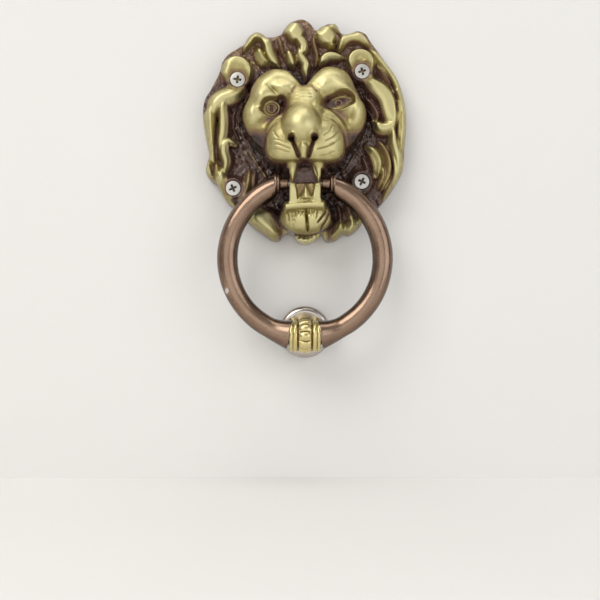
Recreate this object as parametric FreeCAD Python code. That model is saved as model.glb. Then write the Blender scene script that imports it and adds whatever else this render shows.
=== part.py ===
"""A cast lion-head door knocker, in millimetres.

The origin lies on the door's face behind the middle of the mask. +Z is up, the lion looks
along -Y, and the door fills +Y. A height is a distance off the door, so it is -y.
"""
import math
import os

import FreeCAD, Part

# Mask: a hollow die casting, drawn as a relief over an outline
mask_width = 99.0
mask_height = 109.0
rim_height = 4.5            # vertical wall round the outline
rim_width = 4.2             # flat back rim that lies on the door
rim_round = 6.0             # how far in from the outline the round-over reaches
rim_swell = 9.0             # how much the round-over climbs
valley_height = 9.0         # floor between the locks of the mane
lock_height = 13.0          # crest of a lock
lock_fall = 3.2             # drop from the crest to the side of a lock
lock_end_fall = 1.5         # drop of the crest at a lock's ends
ear_height = 14.8
ear_fall = 4.0
forehead_height = 24.6
forehead_crown = 2.0        # drop of the forehead towards its sides
face_round = 4.5            # how far in from its outline the face is rounded
face_round_drop = 2.6
muzzle_height = 33.2
muzzle_drop = 4.2
nose_height = 38.0
nose_side_drop = 3.6
chin_height = 26.2
chin_drop = 5.0
beard_height = 17.0
beard_fall = 2.4
eye_height = 20.6
crease = 0.8                # rounding where one form runs into the next
wall_slope = 24.0           # steepness of the sides of the muzzle
back_pocket_depth = 5.5     # hollow behind the mane
face_hollow_depth = 16.5    # hollow behind the forehead
face_hollow_radius = 20.5
face_hollow_drop = 2.5      # its middle over the middle of the mask
muzzle_hollow_depth = 25.0  # hollow behind the muzzle
muzzle_hollow_radius = 9.0
muzzle_hollow_drop = -8.5
relief_rings = 28           # rings of facets from the middle to the outline
outline_points = 156        # facets round each ring

# Jaw pillar between the collars of the ring, with the cross bore for the pivot pin
pivot_height = 18.0
pivot_drop = 26.6           # pivot below the middle of the mask
jaw_width = 14.7
jaw_top_drop = 17.5
jaw_bottom_drop = 38.0
jaw_cover = 9.0             # casting in front of the pivot axis
jaw_round = 1.6
mouth_width = 7.6
mouth_cover = 2.6           # casting left between the mouth and the bore
mouth_top_drop = 19.2
mouth_bottom_drop = 26.4
tooth_width = 5.8
tooth_height = 6.8
tooth_rise = 2.0
lip_width = 20.4
lip_diameter = 3.6

# Fixing screws: wood screws with countersunk cross-recess heads
screw_diameter = 3.5        # outside of the thread
shank_diameter = 2.6        # plain part under the head
thread_start = 0.5          # thread begins this far behind the casting
screw_length = 35.0
screw_tip = 4.0
screw_head_diameter = 7.0
screw_head_edge = 0.35
screw_head_sink = 0.5       # the pad round a head stands this much over it
screw_hole_clearance = 0.25
screw_recess_clearance = 0.35
cross_length = 4.0
cross_width = 0.85
cross_depth = 1.5
boss_diameter = 10.5
upper_seat_height = 14.2
lower_seat_height = 12.4
upper_left_screw = (-32.1, 23.6)
upper_right_screw = (27.3, 27.5)
lower_left_screw = (-34.4, -28.0)
lower_right_screw = (27.3, -24.8)

# Ring: two arms joined through a fluted band, hung on a steel pin
ring_radius = 36.5          # middle of the tube
ring_tube_diameter = 9.6
ring_top_gap_angle = 21.5   # each arm stops this far from the ring's top
ring_end_drop = 1.4         # middle of the tube's end below the pivot
ring_tilt_angle = 1.6       # the ring leans out this much at rest
flare_diameter = 13.0
flare_length = 11.0
collar_diameter = 10.0
collar_width = 2.6
collar_flat = 1.0           # straight part of the collar's edge
collar_bevel = 0.8
collar_place = 13.4         # middle of the collar from the middle of the knocker
neck_diameter = 5.7
jaw_side_gap = 0.5
pin_diameter = 3.0
pin_clearance = 0.05
pin_length = 23.0
turning_clearance = 0.7     # open space left in the casting round what turns
facet_reach = 2.2           # how far past that space the relief is kept low

# Band at the bottom of the ring
band_width = 14.3
band_barrel_diameter = 16.4
band_barrel_width = 5.6
band_lobes = 10
band_flute_depth = 0.8
band_flute_share = 0.55     # flute radius over the lobe's share of half the way round
barrel_shoulder = 1.3       # fall of the barrel at its ends
barrel_crown = 0.35         # fall half way out
band_collar_diameter = 14.6
band_groove_diameter = 12.4
band_groove_width = 0.9
band_groove_lift = 0.6      # the groove's bottom stands this much over the band's neck
band_bevel = 0.5
dowel_diameter = 4.0
dowel_length = 25.0

# Striker: the button that the band falls on, with its hanger stud
striker_diameter = 25.0
striker_drop = 97.0
striker_gap = 0.3
striker_round = 2.6
striker_dish = 0.6
stud_diameter = 4.0
stud_root_diameter = 4.4    # thicker end held in the button
stud_grip = 7.0             # length inside the button
stud_length = 29.0
stud_tip = 4.0

# Outline of the mask, clockwise from the top: fractions of its half width and half height
OUTLINE = [
    (0.00, 1.00), (0.06, 0.96), (0.11, 0.905), (0.155, 0.935), (0.24, 0.965), (0.31, 0.955),
    (0.365, 0.875), (0.44, 0.88), (0.52, 0.90), (0.60, 0.87), (0.65, 0.80), (0.78, 0.64),
    (0.90, 0.485), (0.97, 0.31), (1.00, 0.08), (0.98, -0.16), (0.975, -0.27), (0.955, -0.365),
    (0.86, -0.52), (0.76, -0.64), (0.68, -0.715), (0.60, -0.77), (0.52, -0.865), (0.44, -0.92),
    (0.375, -0.91), (0.32, -0.955), (0.25, -0.98), (0.20, -0.965), (0.165, -0.915),
    (0.12, -0.955), (0.06, -0.985), (0.00, -1.00), (-0.07, -0.975), (-0.12, -0.92),
    (-0.17, -0.905), (-0.22, -0.925), (-0.25, -0.965), (-0.31, -0.97), (-0.37, -0.94),
    (-0.54, -0.82), (-0.63, -0.725), (-0.76, -0.63), (-0.82, -0.54), (-0.87, -0.465),
    (-0.935, -0.42), (-0.975, -0.34), (-0.945, -0.21), (-0.975, -0.05), (-1.00, 0.10),
    (-1.00, 0.22), (-0.975, 0.305), (-0.92, 0.385), (-0.84, 0.53), (-0.815, 0.615),
    (-0.755, 0.69), (-0.65, 0.75), (-0.60, 0.78), (-0.555, 0.845), (-0.49, 0.885),
    (-0.425, 0.88), (-0.37, 0.845), (-0.295, 0.85), (-0.235, 0.87), (-0.205, 0.915),
    (-0.15, 0.97), (-0.07, 1.00),
]

# Locks of the mane: half width, rise over lock_height, then the way the crest runs.
# Places are in millimetres at the drawn size of the mask.
DRAWN_WIDTH = 99.0
DRAWN_HEIGHT = 109.0
LOCKS = [
    (2.4, 2.0, [(-7, 49), (-3.5, 46), (-1, 42.5), (-1.5, 37.5), (-0.5, 32), (0, 25)]),
    (2.2, 0.5, [(-28, 39.5), (-23, 44.5), (-18.5, 42), (-17, 36.5), (-13.5, 30)]),
    (1.8, 0.0, [(-7, 37), (-6, 31)]),
    (2.8, 0.5, [(-31.5, 17.5), (-38, 16.5), (-43, 13.5), (-45, 4), (-45.5, -5), (-43.5, -14)]),
    (2.4, 0.5, [(-34.5, 16), (-39, 13), (-40, 5), (-40.5, -7), (-38.5, -17), (-38.5, -22)]),
    (1.9, 0.5, [(-34.5, -5), (-38, -6.5), (-37.5, -11), (-36, -16), (-37, -21)]),
    (2.6, 0.0, [(-39, -21), (-41, -26), (-39.5, -31), (-36, -35)]),
    (1.7, -3.0, [(-46, -16), (-45.5, -21)]),
    (2.4, -1.5, [(-26.5, -18), (-27.5, -26), (-29.5, -34)]),
    (3.4, -0.5, [(-24, -40), (-20.5, -44), (-17, -48.5), (-14, -52)]),
    (2.4, -2.0, [(-29, -40.5), (-23, -47)]),
    (2.8, 0.5, [(8, 47.5), (9.5, 44.5), (12, 41)]),
    (1.6, -1.0, [(12, 49), (15, 49.5)]),
    (2.2, 0.0, [(16.5, 39), (18, 42.5), (21.5, 45), (26, 44.5), (29.5, 41.5)]),
    (1.9, 0.5, [(8.5, 31), (10, 34.5), (13, 36), (17, 35)]),
    (2.6, -0.5, [(31, 39), (36, 35), (41, 28.5), (44.5, 22), (46, 14), (46.5, 4), (46, -5)]),
    (2.4, -0.5, [(46, -5), (45.5, -12), (46, -17), (44, -24), (38.5, -32)]),
    (3.2, 1.5, [(30.5, 24), (35, 21), (38.5, 16), (40, 10), (41.5, 4), (40.5, -2), (44, -11)]),
    (2.2, 1.0, [(34.5, 3), (37, -1), (41, -4)]),
    (3.0, -1.0, [(31.5, -8), (34.5, -13), (35.5, -19), (33.5, -27)]),
    (2.8, -1.5, [(39, -8), (41, -14), (40, -21), (37, -28), (35.5, -34)]),
    (1.6, -2.0, [(29, 17), (32.5, 13), (36.5, 9)]),
    (1.7, -3.0, [(16.5, -35), (17, -43)]),
    (2.4, -1.0, [(17, -44), (15, -49.5), (11.5, -53)]),
    (2.4, -1.5, [(21, -37), (24, -43.5), (21.5, -48), (18.5, -50.5)]),
]

# Ears: middle, half width, half height
EARS = [(-32.5, 28.5, 7.0, 6.5), (26.5, 32.5, 6.0, 6.0)]

# Outline of the face, clockwise from between the brows
FACE = [
    (0, 19.5), (3.5, 23), (9.5, 27), (15.5, 27), (20, 24), (23, 18), (25, 13), (27.5, 9.5),
    (28, 5.5), (27, 0.5), (24.5, -3.5), (20.5, -9), (14, -12), (0, -13), (-14, -12),
    (-20.5, -9), (-25.5, -4), (-28, 1.5), (-28.5, 6), (-27.5, 9.5), (-25.5, 13.5),
    (-24.5, 18), (-21, 23), (-14.5, 26.5), (-8, 25.5), (-3, 22),
]

# Soft rises on the face: rise, middle, half sizes, turn in degrees. Hollows have a rise under nought.
FACE_FORMS = [
    (1.9, (-10, 17.5), 4.4, 2.8, -6),       # inner brows
    (2.2, (8.5, 17), 2.4, 3.0, -17),
    (2.8, (-20, 13), 4.4, 4.0, 23),         # outer brows
    (3.2, (18.5, 16), 6.0, 2.6, -29),
    (1.2, (-18, 20), 5.0, 2.6, 29),         # forehead
    (1.6, (9.5, 21.5), 5.4, 4.4, -17),
    (-1.3, (0, 20.5), 2.0, 3.2, 0),
    (1.6, (-25, 4.5), 3.6, 4.8, 0),         # cheek bones
    (1.8, (25, 6.5), 3.0, 6.4, -6),
    (-2.2, (-18, 2), 4.4, 2.2, 29),         # hollows under the eyes
    (-2.2, (20, 3.5), 3.2, 3.6, -40),
    (-2.4, (-21, -5.5), 5.0, 3.0, -40),     # jowls
    (-2.0, (22.5, -4), 4.4, 3.0, 52),
    (-4.6, (-14, 9), 5.4, 3.4, -14),        # eye sockets
    (-4.4, (15, 10.5), 6.2, 3.2, 9),
    (-3.0, (-9.5, 12), 2.0, 2.8, 17),
    (-2.4, (10, 12.5), 1.9, 3.2, -17),
]
EYES = [(-15.3, 8.2), (15.8, 10.2)]
EYE_RADIUS = 3.6
EYE_DROP = 1.6
FACE_WALL_CURVE = 1.5       # how fast the face's side wall steepens outside its outline
DRAWN_FACE_WIDTH = 54.0
MUZZLE_PADS = [(-7.2, -8.8, 11.0, 9.9), (7.2, -8.8, 11.0, 9.9)]

# Folds from the nose down to the cheeks: half width, rise, run
FOLDS = [
    (1.6, 2.4, [(7, 7), (14, 2.5), (18.5, -5), (19, -9)]),
    (1.6, 2.0, [(-7, 6.5), (-14.5, 1.5), (-18.5, -5)]),
]

# Nose from below the nostrils to the forehead: z, middle, half width, ridge below nose_height
NOSE = [
    (-9, -1.8, 7.0, 4.4), (-7, -1.8, 8.4, 2.0), (-4.5, -1.7, 9.0, 0.3), (-1, -1.6, 9.1, 1.0),
    (3, -1.2, 8.4, 3.8), (8, -0.5, 7.4, 8.0), (14, 0.1, 7.8, 10.6), (20, 0.1, 9.5, 12.8),
    (26, 0.1, 9.5, 18.0),
]
CHIN = (0.3, -42.8, 11.8, 8.6)
BEARD = [(-12, -42), (-10.5, -47.5), (-6, -51.5), (-0.5, -53.5), (4.5, -52), (8, -48.5)]
BEARD_HALF_WIDTH = 2.2


def vector(x, height, z):
    """Point at (x, z) in the plane of the door, standing height off it."""
    return FreeCAD.Vector(x, -height, z)


def outward():
    """Direction away from the door."""
    return FreeCAD.Vector(0, -1, 0)


def smooth_max(a, b, blend):
    """Larger of two heights, with the crease between them rounded."""
    gap = abs(a - b)
    if gap >= blend:
        return max(a, b)
    return max(a, b) + (blend - gap) ** 2 / (4.0 * blend)


def smooth_min(a, b, blend):
    """Smaller of two heights, with the crease rounded."""
    return -smooth_max(-a, -b, blend)


def fade(value):
    """One at zero, nothing from one upwards, with soft ends."""
    if value >= 1.0:
        return 0.0
    return (1.0 - value * value) ** 2


def nearest_on_run(x, z, points):
    """Distance from (x, z) to a run of straight lines, and how far along it that is, 0 to 1."""
    best = None
    steps = len(points) - 1
    for index in range(steps):
        ax, az = points[index][:2]
        bx, bz = points[index + 1][:2]
        dx = bx - ax
        dz = bz - az
        part = ((x - ax) * dx + (z - az) * dz) / (dx * dx + dz * dz)
        part = min(1.0, max(0.0, part))
        distance = math.hypot(x - ax - part * dx, z - az - part * dz)
        if best is None or distance < best[0]:
            best = (distance, (index + part) / steps)
    return best


def dome(x, z, middle_x, middle_z, half_x, half_z, top, drop, power=2.0):
    """Height of a round form that stands top high and has dropped by drop at its edge."""
    reach = math.hypot((x - middle_x) / half_x, (z - middle_z) / half_z)
    return top - drop * reach ** power


def mane_height(x, z, inside):
    """Locks standing out of the floor of the mane, inside mm in from the outline."""
    height = valley_height
    for half_width, rise, run in LOCKS:
        distance, along = nearest_on_run(x, z, run)
        if distance > 3.0 * half_width:
            continue
        taper = 1.15 - 0.45 * abs(2.0 * along - 1.0) ** 2.5
        crest = lock_height + rise - lock_end_fall * abs(2.0 * along - 1.0) ** 3
        lock = crest - lock_fall * (distance / (half_width * taper)) ** 2
        height = smooth_max(height, lock, crease)
    for middle_x, middle_z, half_x, half_z in EARS:
        ear = dome(x, z, middle_x, middle_z, half_x, half_z, ear_height, ear_fall, 4.0)
        height = smooth_max(height, ear, crease)
    if inside < rim_round:
        climb = math.sqrt(max(0.0, 1.0 - (1.0 - max(0.0, inside) / rim_round) ** 2))
        height = smooth_min(height, rim_height + rim_swell * climb, 1.0)
    return height


def inside_face(x, z):
    """Distance in from the outline of the face, negative outside it."""
    distance, along = nearest_on_run(x, z, FACE + FACE[:1])
    crossings = 0
    for (ax, az), (bx, bz) in zip(FACE, FACE[1:] + FACE[:1]):
        if (az <= z) != (bz <= z) and x < ax + (bx - ax) * (z - az) / (bz - az):
            crossings += 1
    return distance if crossings % 2 == 1 else -distance


def soft_form(x, z, rise, middle, half_x, half_z, turn):
    """Rise that falls off as a bell curve from its middle."""
    angle = math.radians(turn)
    dx = x - middle[0]
    dz = z - middle[1]
    across = (dx * math.cos(angle) + dz * math.sin(angle)) / half_x
    up = (dz * math.cos(angle) - dx * math.sin(angle)) / half_z
    return rise * math.exp(-across * across - up * up)


def forehead_and_cheeks(x, z):
    """Crowned plane of the face with its soft forms, falling off steeply outside its outline."""
    deep = inside_face(x, z)
    if deep > 0:
        edge = face_round_drop * max(0.0, 1 - deep / face_round) ** 2
    else:
        slope = 2 * face_round_drop / face_round
        edge = face_round_drop - slope * deep + FACE_WALL_CURVE * deep ** 2
    height = forehead_height - forehead_crown * (2 * x / DRAWN_FACE_WIDTH) ** 2 - edge
    for form in FACE_FORMS:
        height += soft_form(x, z, *form)
    return height


def pad_height(x, z, middle_x, middle_z, half_x, half_z):
    """One whisker pad: a squarish cushion with steep sides."""
    across = abs((x - middle_x) / half_x)
    up = abs((z - middle_z) / half_z)
    reach = (across ** 2.5 + up ** 2.5) ** 0.4
    steep = wall_slope * (max(0.0, reach - 0.9) + 2.5 * max(0.0, reach - 1.0))
    return muzzle_height - muzzle_drop * reach ** 3.2 - steep


def nose_profile(x, z):
    """Nose and its bridge: the ridge height and half width change down its length."""
    if not NOSE[0][0] <= z <= NOSE[-1][0]:
        return 0.0
    index = max(i for i in range(len(NOSE) - 1) if NOSE[i][0] <= z)
    low, middle_low, half_low, down_low = NOSE[index]
    high, middle_high, half_high, down_high = NOSE[index + 1]
    share = (z - low) / (high - low)
    middle = middle_low + (middle_high - middle_low) * share
    half = half_low + (half_high - half_low) * share
    top = nose_height - down_low - (down_high - down_low) * share
    across = abs(x - middle) / half
    steep = wall_slope * (0.4 * max(0.0, across - 0.9) + 0.6 * max(0.0, across - 1.1))
    return top - nose_side_drop * across ** 2.6 - steep


def face_height(x, z):
    """Forehead, brows, eyes, cheeks, nose and muzzle; far below the mane outside the face."""
    height = forehead_and_cheeks(x, z)
    for eye_x, eye_z in EYES:
        eye = dome(x, z, eye_x, eye_z, EYE_RADIUS, EYE_RADIUS, eye_height, EYE_DROP)
        height = smooth_max(height, eye, crease)
    for pad in MUZZLE_PADS:
        height = smooth_max(height, pad_height(x, z, *pad), crease)
    height = smooth_max(height, nose_profile(x, z), 2 * crease)
    for half_width, rise, run in FOLDS:
        distance, along = nearest_on_run(x, z, run)
        height += rise * math.exp(-(distance / half_width) ** 2)
    return height


def chin_and_beard(x, z):
    """Round chin under the lip, with the fringe of the beard round it."""
    chin = dome(x, z, *CHIN, chin_height, chin_drop, 2.6)
    reach = math.hypot((x - CHIN[0]) / CHIN[2], (z - CHIN[1]) / CHIN[3])
    chin -= 2 * wall_slope * max(0.0, reach - 1.0)
    distance, along = nearest_on_run(x, z, BEARD)
    fringe = beard_height - beard_fall * (distance / BEARD_HALF_WIDTH) ** 2
    return smooth_max(chin, fringe, crease)


def relief_height(x, z, inside):
    """Height of the whole relief over the door at (x, z), which lies inside mm in from the outline."""
    stretch_x = mask_width / DRAWN_WIDTH
    stretch_z = mask_height / DRAWN_HEIGHT
    drawn_x = x / stretch_x
    drawn_z = z / stretch_z
    height = mane_height(drawn_x, drawn_z, inside)
    height = smooth_max(height, face_height(drawn_x, drawn_z), crease)
    height = smooth_max(height, chin_and_beard(drawn_x, drawn_z), crease)
    return clear_of_ring(x, z, level_at_screws(x, z, height))


def level_at_screws(x, z, height):
    """Relief brought to a level pad round each screw head, just over the head."""
    for screw_x, screw_z, seat in screw_places():
        pull = fade(math.hypot(x - screw_x, z - screw_z) / boss_diameter)
        level = seat + screw_head_sink
        height = height + (level - height) * min(1.0, 1.6 * pull)
    return height


def clear_of_ring(x, z, height):
    """Relief kept under the ring's arms and collars where they hang over the mane."""
    reach = ring_tube_diameter / 2 + turning_clearance
    centre_z = -pivot_drop - ring_centre_drop()
    across = abs(math.hypot(x, z - centre_z) - ring_radius)
    if z < -pivot_drop and across < reach + facet_reach:
        height = min(height, pivot_height - reach)
    beside = jaw_width / 2 < abs(x) < collar_place + collar_width + turning_clearance
    level = abs(z + pivot_drop) < collar_diameter / 2 + turning_clearance + facet_reach
    if beside and level:
        height = min(height, pivot_height - collar_diameter / 2 - turning_clearance)
    return height


def screw_places():
    """Each screw as (x, z, height of its seat)."""
    return [
        (*upper_left_screw, upper_seat_height),
        (*upper_right_screw, upper_seat_height),
        (*lower_left_screw, lower_seat_height),
        (*lower_right_screw, lower_seat_height),
    ]


def ring_centre_drop():
    """Distance from the pivot to the middle of the ring: the arms' ends meet the pivot's level."""
    return ring_radius * math.cos(math.radians(ring_top_gap_angle)) + ring_end_drop


def band_drop():
    """Distance from the pivot down the ring to the band's axis."""
    return ring_centre_drop() + ring_radius


def outline_curve(shrink=0.0):
    """Closed curve of the outline on the door's plane, drawn in by shrink all round."""
    points = []
    for share_x, share_z in OUTLINE:
        x = share_x * mask_width / 2
        z = share_z * mask_height / 2
        inner = 1 - shrink / math.hypot(x, z)
        points.append(vector(x * inner, 0, z * inner))
    curve = Part.BSplineCurve()
    curve.interpolate(points, PeriodicFlag=True)
    return curve


def relief_block():
    """Faceted block: rings of points from the middle out to the outline, down to behind the rim."""
    rim = outline_curve().discretize(Number=outline_points + 1)[:outline_points]
    points = [vector(0, relief_height(0, 0, mask_width / 2), 0)]
    for ring in range(1, relief_rings + 1):
        share = ring / relief_rings
        for edge in rim:
            inside = math.hypot(edge.x, edge.z) * (1 - share)
            height = relief_height(edge.x * share, edge.z * share, inside)
            points.append(vector(edge.x * share, height, edge.z * share))
    points += [vector(edge.x, -rim_width, edge.z) for edge in rim]
    points.append(vector(0, -rim_width, 0))
    facets = []
    for step in range(outline_points):
        after = (step + 1) % outline_points
        facets.append((0, 1 + step, 1 + after))
        for ring in range(relief_rings + 1):
            inner = 1 + (ring - 1) * outline_points
            outer = inner + outline_points
            if ring > 0:
                facets.append((inner + step, outer + step, outer + after))
                facets.append((inner + step, outer + after, inner + after))
        last = 1 + relief_rings * outline_points
        facets.append((last + step, len(points) - 1, last + after))
    shell = Part.Shape()
    shell.makeShapeFromMesh((points, facets), 0.01)
    return Part.Solid(Part.Shell(shell.Faces))


def rod(diameter, start, direction, length):
    """Round bar."""
    return Part.makeCylinder(diameter / 2, length, start, direction)


def round_hollow(middle_z, radius, depth):
    """Bowl-shaped hollow, open on the door's plane and reaching depth into the mask."""
    profile = [
        (0, 0), (radius, 0), (radius, depth * 0.3), (radius * 0.9, depth * 0.62),
        (radius * 0.62, depth * 0.9), (radius * 0.3, depth), (0, depth),
    ]
    return turned(profile, vector(0, 0, middle_z), outward())


def back_hollows():
    """What the casting leaves out behind: a level pocket, the face and the muzzle."""
    pocket = Part.Face(Part.Wire(outline_curve(rim_width).toShape()))
    pocket = pocket.extrude(outward() * back_pocket_depth)
    hollows = pocket.fuse([
        round_hollow(face_hollow_drop, face_hollow_radius, face_hollow_depth),
        round_hollow(muzzle_hollow_drop, muzzle_hollow_radius, muzzle_hollow_depth),
    ])
    bosses = [
        rod(boss_diameter, vector(x, 0, z), outward(), back_pocket_depth)
        for x, z, seat in screw_places()
    ]
    return hollows.cut(bosses)


def jaw_pillar():
    """Upright of the jaw that the pin runs through, with the open mouth and the front tooth."""
    height = pivot_height + jaw_cover
    tall = jaw_bottom_drop - jaw_top_drop
    pillar = Part.makeBox(jaw_width, height - back_pocket_depth, tall)
    pillar.translate(FreeCAD.Vector(-jaw_width / 2, -height, -jaw_bottom_drop))
    front = [edge for edge in pillar.Edges if edge.BoundBox.YMax < -height + 0.01]
    upright = [edge for edge in front if edge.BoundBox.ZLength > jaw_round]
    pillar = pillar.makeFillet(jaw_round, upright)
    floor = pivot_height + pin_diameter / 2 + mouth_cover
    mouth = Part.makeBox(mouth_width, nose_height, mouth_bottom_drop - mouth_top_drop)
    mouth.translate(FreeCAD.Vector(-mouth_width / 2, -floor - nose_height, -mouth_bottom_drop))
    tooth_foot = vector(0, height, -mouth_bottom_drop - tooth_height)
    corners = [
        tooth_foot + FreeCAD.Vector(-tooth_width / 2, 0, 0),
        tooth_foot + FreeCAD.Vector(tooth_width / 2, 0, 0),
        tooth_foot + FreeCAD.Vector(0, 0, tooth_height),
    ]
    tooth = Part.makePolygon(corners + corners[:1])
    tooth = Part.Face(tooth).extrude(outward() * tooth_rise)
    lip_start = vector(-lip_width / 2, height, -jaw_bottom_drop + lip_diameter / 2)
    lip = rod(lip_diameter, lip_start, FreeCAD.Vector(1, 0, 0), lip_width)
    return pillar.fuse([tooth, lip]), mouth


def jaw_side_slots():
    """Open space beside the jaw where the necks and collars turn."""
    reach = collar_diameter / 2 + turning_clearance
    wide = collar_place + collar_width / 2 + turning_clearance - jaw_width / 2
    slots = []
    for start in (-jaw_width / 2 - wide, jaw_width / 2):
        slot = Part.makeBox(wide, nose_height, 2 * reach)
        slot.translate(FreeCAD.Vector(start, -pivot_height - nose_height, -pivot_drop - reach))
        well = rod(2 * reach, vector(start, pivot_height, -pivot_drop), FreeCAD.Vector(1, 0, 0), wide)
        slots.append(slot.fuse(well))
    return slots


def screw_cut(x, z, seat):
    """Shank hole, countersink and head recess of one screw, as one turned tool."""
    recess = screw_head_diameter / 2 + screw_recess_clearance
    head = screw_head_diameter / 2
    hole = screw_diameter / 2 + screw_hole_clearance
    cone_end = screw_head_edge + head - hole
    above = nose_height - seat
    profile = [
        (0, -above), (recess, -above), (recess, 0), (head, 0), (head, screw_head_edge),
        (hole, cone_end), (hole, seat + 1), (0, seat + 1),
    ]
    return turned(profile, vector(x, seat, z), outward() * -1)


def lion_mask():
    """Relief with its jaw, hollowed behind and cut for the mouth, the ring, the pin and the screws."""
    pillar, mouth = jaw_pillar()
    behind = Part.makeBox(2 * mask_width, 2 * rim_width, 2 * mask_height)
    behind.translate(FreeCAD.Vector(-mask_width, 0, -mask_height))
    bore_start = vector(-pin_length / 2, pivot_height, -pivot_drop)
    bore = rod(pin_diameter + 2 * pin_clearance, bore_start, FreeCAD.Vector(1, 0, 0), pin_length)
    cuts = [behind, back_hollows(), mouth, bore] + jaw_side_slots()
    cuts += [screw_cut(x, z, seat) for x, z, seat in screw_places()]
    return relief_block().fuse(pillar).cut(cuts)


def turned(profile, start, axis):
    """Solid turned from (radius, length) points along axis, measured from start."""
    side = FreeCAD.Vector(0, 0, 1)
    points = [start + side * radius + axis * length for radius, length in profile]
    wire = Part.makePolygon(points + points[:1])
    return Part.Face(wire).revolve(start, axis, 360)


def screw_head(x, z, seat):
    """Countersunk head: a thin straight edge over a square cone."""
    radius = screw_head_diameter / 2
    cone = radius - shank_diameter / 2
    profile = [
        (0, 0), (radius, 0), (radius, screw_head_edge),
        (shank_diameter / 2, screw_head_edge + cone), (0, screw_head_edge + cone),
    ]
    return turned(profile, vector(x, seat, z), outward() * -1)


def mask_screw(x, z, seat):
    """One fixing screw with its cross recess."""
    shank = shank_diameter / 2
    thread = screw_diameter / 2
    begin = seat + thread_start
    profile = [
        (0, screw_head_edge), (shank, screw_head_edge), (shank, begin), (thread, begin),
        (thread, screw_length - screw_tip), (0, screw_length),
    ]
    screw = screw_head(x, z, seat).fuse(turned(profile, vector(x, seat, z), outward() * -1))
    for size_x, size_z in ((cross_length, cross_width), (cross_width, cross_length)):
        slot = Part.makeBox(size_x, cross_depth, size_z)
        slot.translate(FreeCAD.Vector(x - size_x / 2, -seat, z - size_z / 2))
        screw = screw.cut(slot)
    return screw.removeSplitter()


def mask_screws():
    """The four fixing screws."""
    return Part.makeCompound([mask_screw(x, z, seat) for x, z, seat in screw_places()])


def ring_point(angle):
    """Point on the middle of the tube, angle degrees from the bottom towards +X, hung upright."""
    turn = math.radians(angle)
    x = ring_radius * math.sin(turn)
    drop = ring_centre_drop() + ring_radius * math.cos(turn)
    return FreeCAD.Vector(x, -pivot_height, -pivot_drop - drop)


def tube_section(angle, radius):
    """Circle across the tube at angle."""
    turn = math.radians(angle)
    along = FreeCAD.Vector(math.cos(turn), 0, math.sin(turn))
    return Part.Wire(Part.makeCircle(radius, ring_point(angle), along))


def right_arm_upright():
    """Right arm with the ring hanging upright: tube, flare, collar and bored neck."""
    tube = ring_tube_diameter / 2
    band_angle = math.degrees(math.asin(band_width / 2 / ring_radius))
    flare_angle = math.degrees(flare_length / ring_radius)
    top_angle = 180 - ring_top_gap_angle
    circle = Part.Face(tube_section(band_angle + flare_angle, tube))
    centre = vector(0, pivot_height, -pivot_drop - ring_centre_drop())
    arc = top_angle - band_angle - flare_angle
    arm = circle.revolve(centre, FreeCAD.Vector(0, -1, 0), arc)
    end = vector(band_width / 2, pivot_height, -pivot_drop - band_drop())
    foot = Part.Wire(Part.makeCircle(flare_diameter / 2, end, FreeCAD.Vector(1, 0, 0)))
    sections = [foot]
    for share in (0.33, 0.67, 1.0):
        swell = (flare_diameter / 2 - tube) * (1 - share) ** 1.6
        sections.append(tube_section(band_angle + flare_angle * share, tube + swell))
    flare = Part.makeLoft(sections, True, False)
    across = FreeCAD.Vector(1, 0, 0)
    neck_start = jaw_width / 2 + jaw_side_gap
    pivot = vector(0, pivot_height, -pivot_drop)
    neck = rod(neck_diameter, pivot + across * neck_start, across, collar_place - neck_start)
    bead = collar_width / 2
    full = collar_diameter / 2
    profile = [
        (0, collar_place - bead), (full - collar_bevel, collar_place - bead),
        (full, collar_place - collar_flat / 2), (full, collar_place + collar_flat / 2),
        (full - collar_bevel, collar_place + bead), (0, collar_place + bead),
    ]
    collar = turned(profile, pivot, across)
    arm = arm.fuse([flare, neck, collar])
    pin_hole = rod(pin_diameter, pivot, across, pin_length / 2)
    band_axis = vector(0, pivot_height, -pivot_drop - band_drop())
    dowel_hole = rod(dowel_diameter, band_axis, across, dowel_length / 2)
    return arm.cut([pin_hole, dowel_hole])


def leaned(shape):
    """Shape swung with the ring to its place against the striker."""
    shape.rotate(vector(0, pivot_height, -pivot_drop), FreeCAD.Vector(-1, 0, 0), ring_tilt_angle)
    return shape


def right_ring_arm():
    """Right arm in place."""
    return leaned(right_arm_upright())


def left_ring_arm():
    """Left arm: the right one mirrored."""
    return leaned(right_arm_upright().mirror(FreeCAD.Vector(), FreeCAD.Vector(1, 0, 0)))


def pivot_pin():
    """Steel pin that runs free in the jaw and is held in both arms."""
    start = vector(-pin_length / 2, pivot_height, -pivot_drop)
    return rod(pin_diameter, start, FreeCAD.Vector(1, 0, 0), pin_length)


def fluted_barrel(axis_point):
    """Middle of the band: a barrel with rounded lobes round it."""
    full = band_barrel_diameter / 2
    half = band_barrel_width / 2
    across = FreeCAD.Vector(1, 0, 0)
    profile = [
        (0, -half), (full - barrel_shoulder, -half), (full - barrel_crown, -half * 0.55), (full, 0),
        (full - barrel_crown, half * 0.55), (full - barrel_shoulder, half), (0, half),
    ]
    barrel = turned(profile, axis_point, across)
    flute = math.pi * full / band_lobes * band_flute_share
    cuts = []
    for index in range(band_lobes):
        angle = 2 * math.pi * (index + 0.5) / band_lobes
        centre = full - band_flute_depth + flute
        place = FreeCAD.Vector(-half, centre * math.cos(angle), centre * math.sin(angle))
        cuts.append(rod(2 * flute, axis_point + place, across, band_barrel_width))
    return barrel.cut(cuts)


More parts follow.
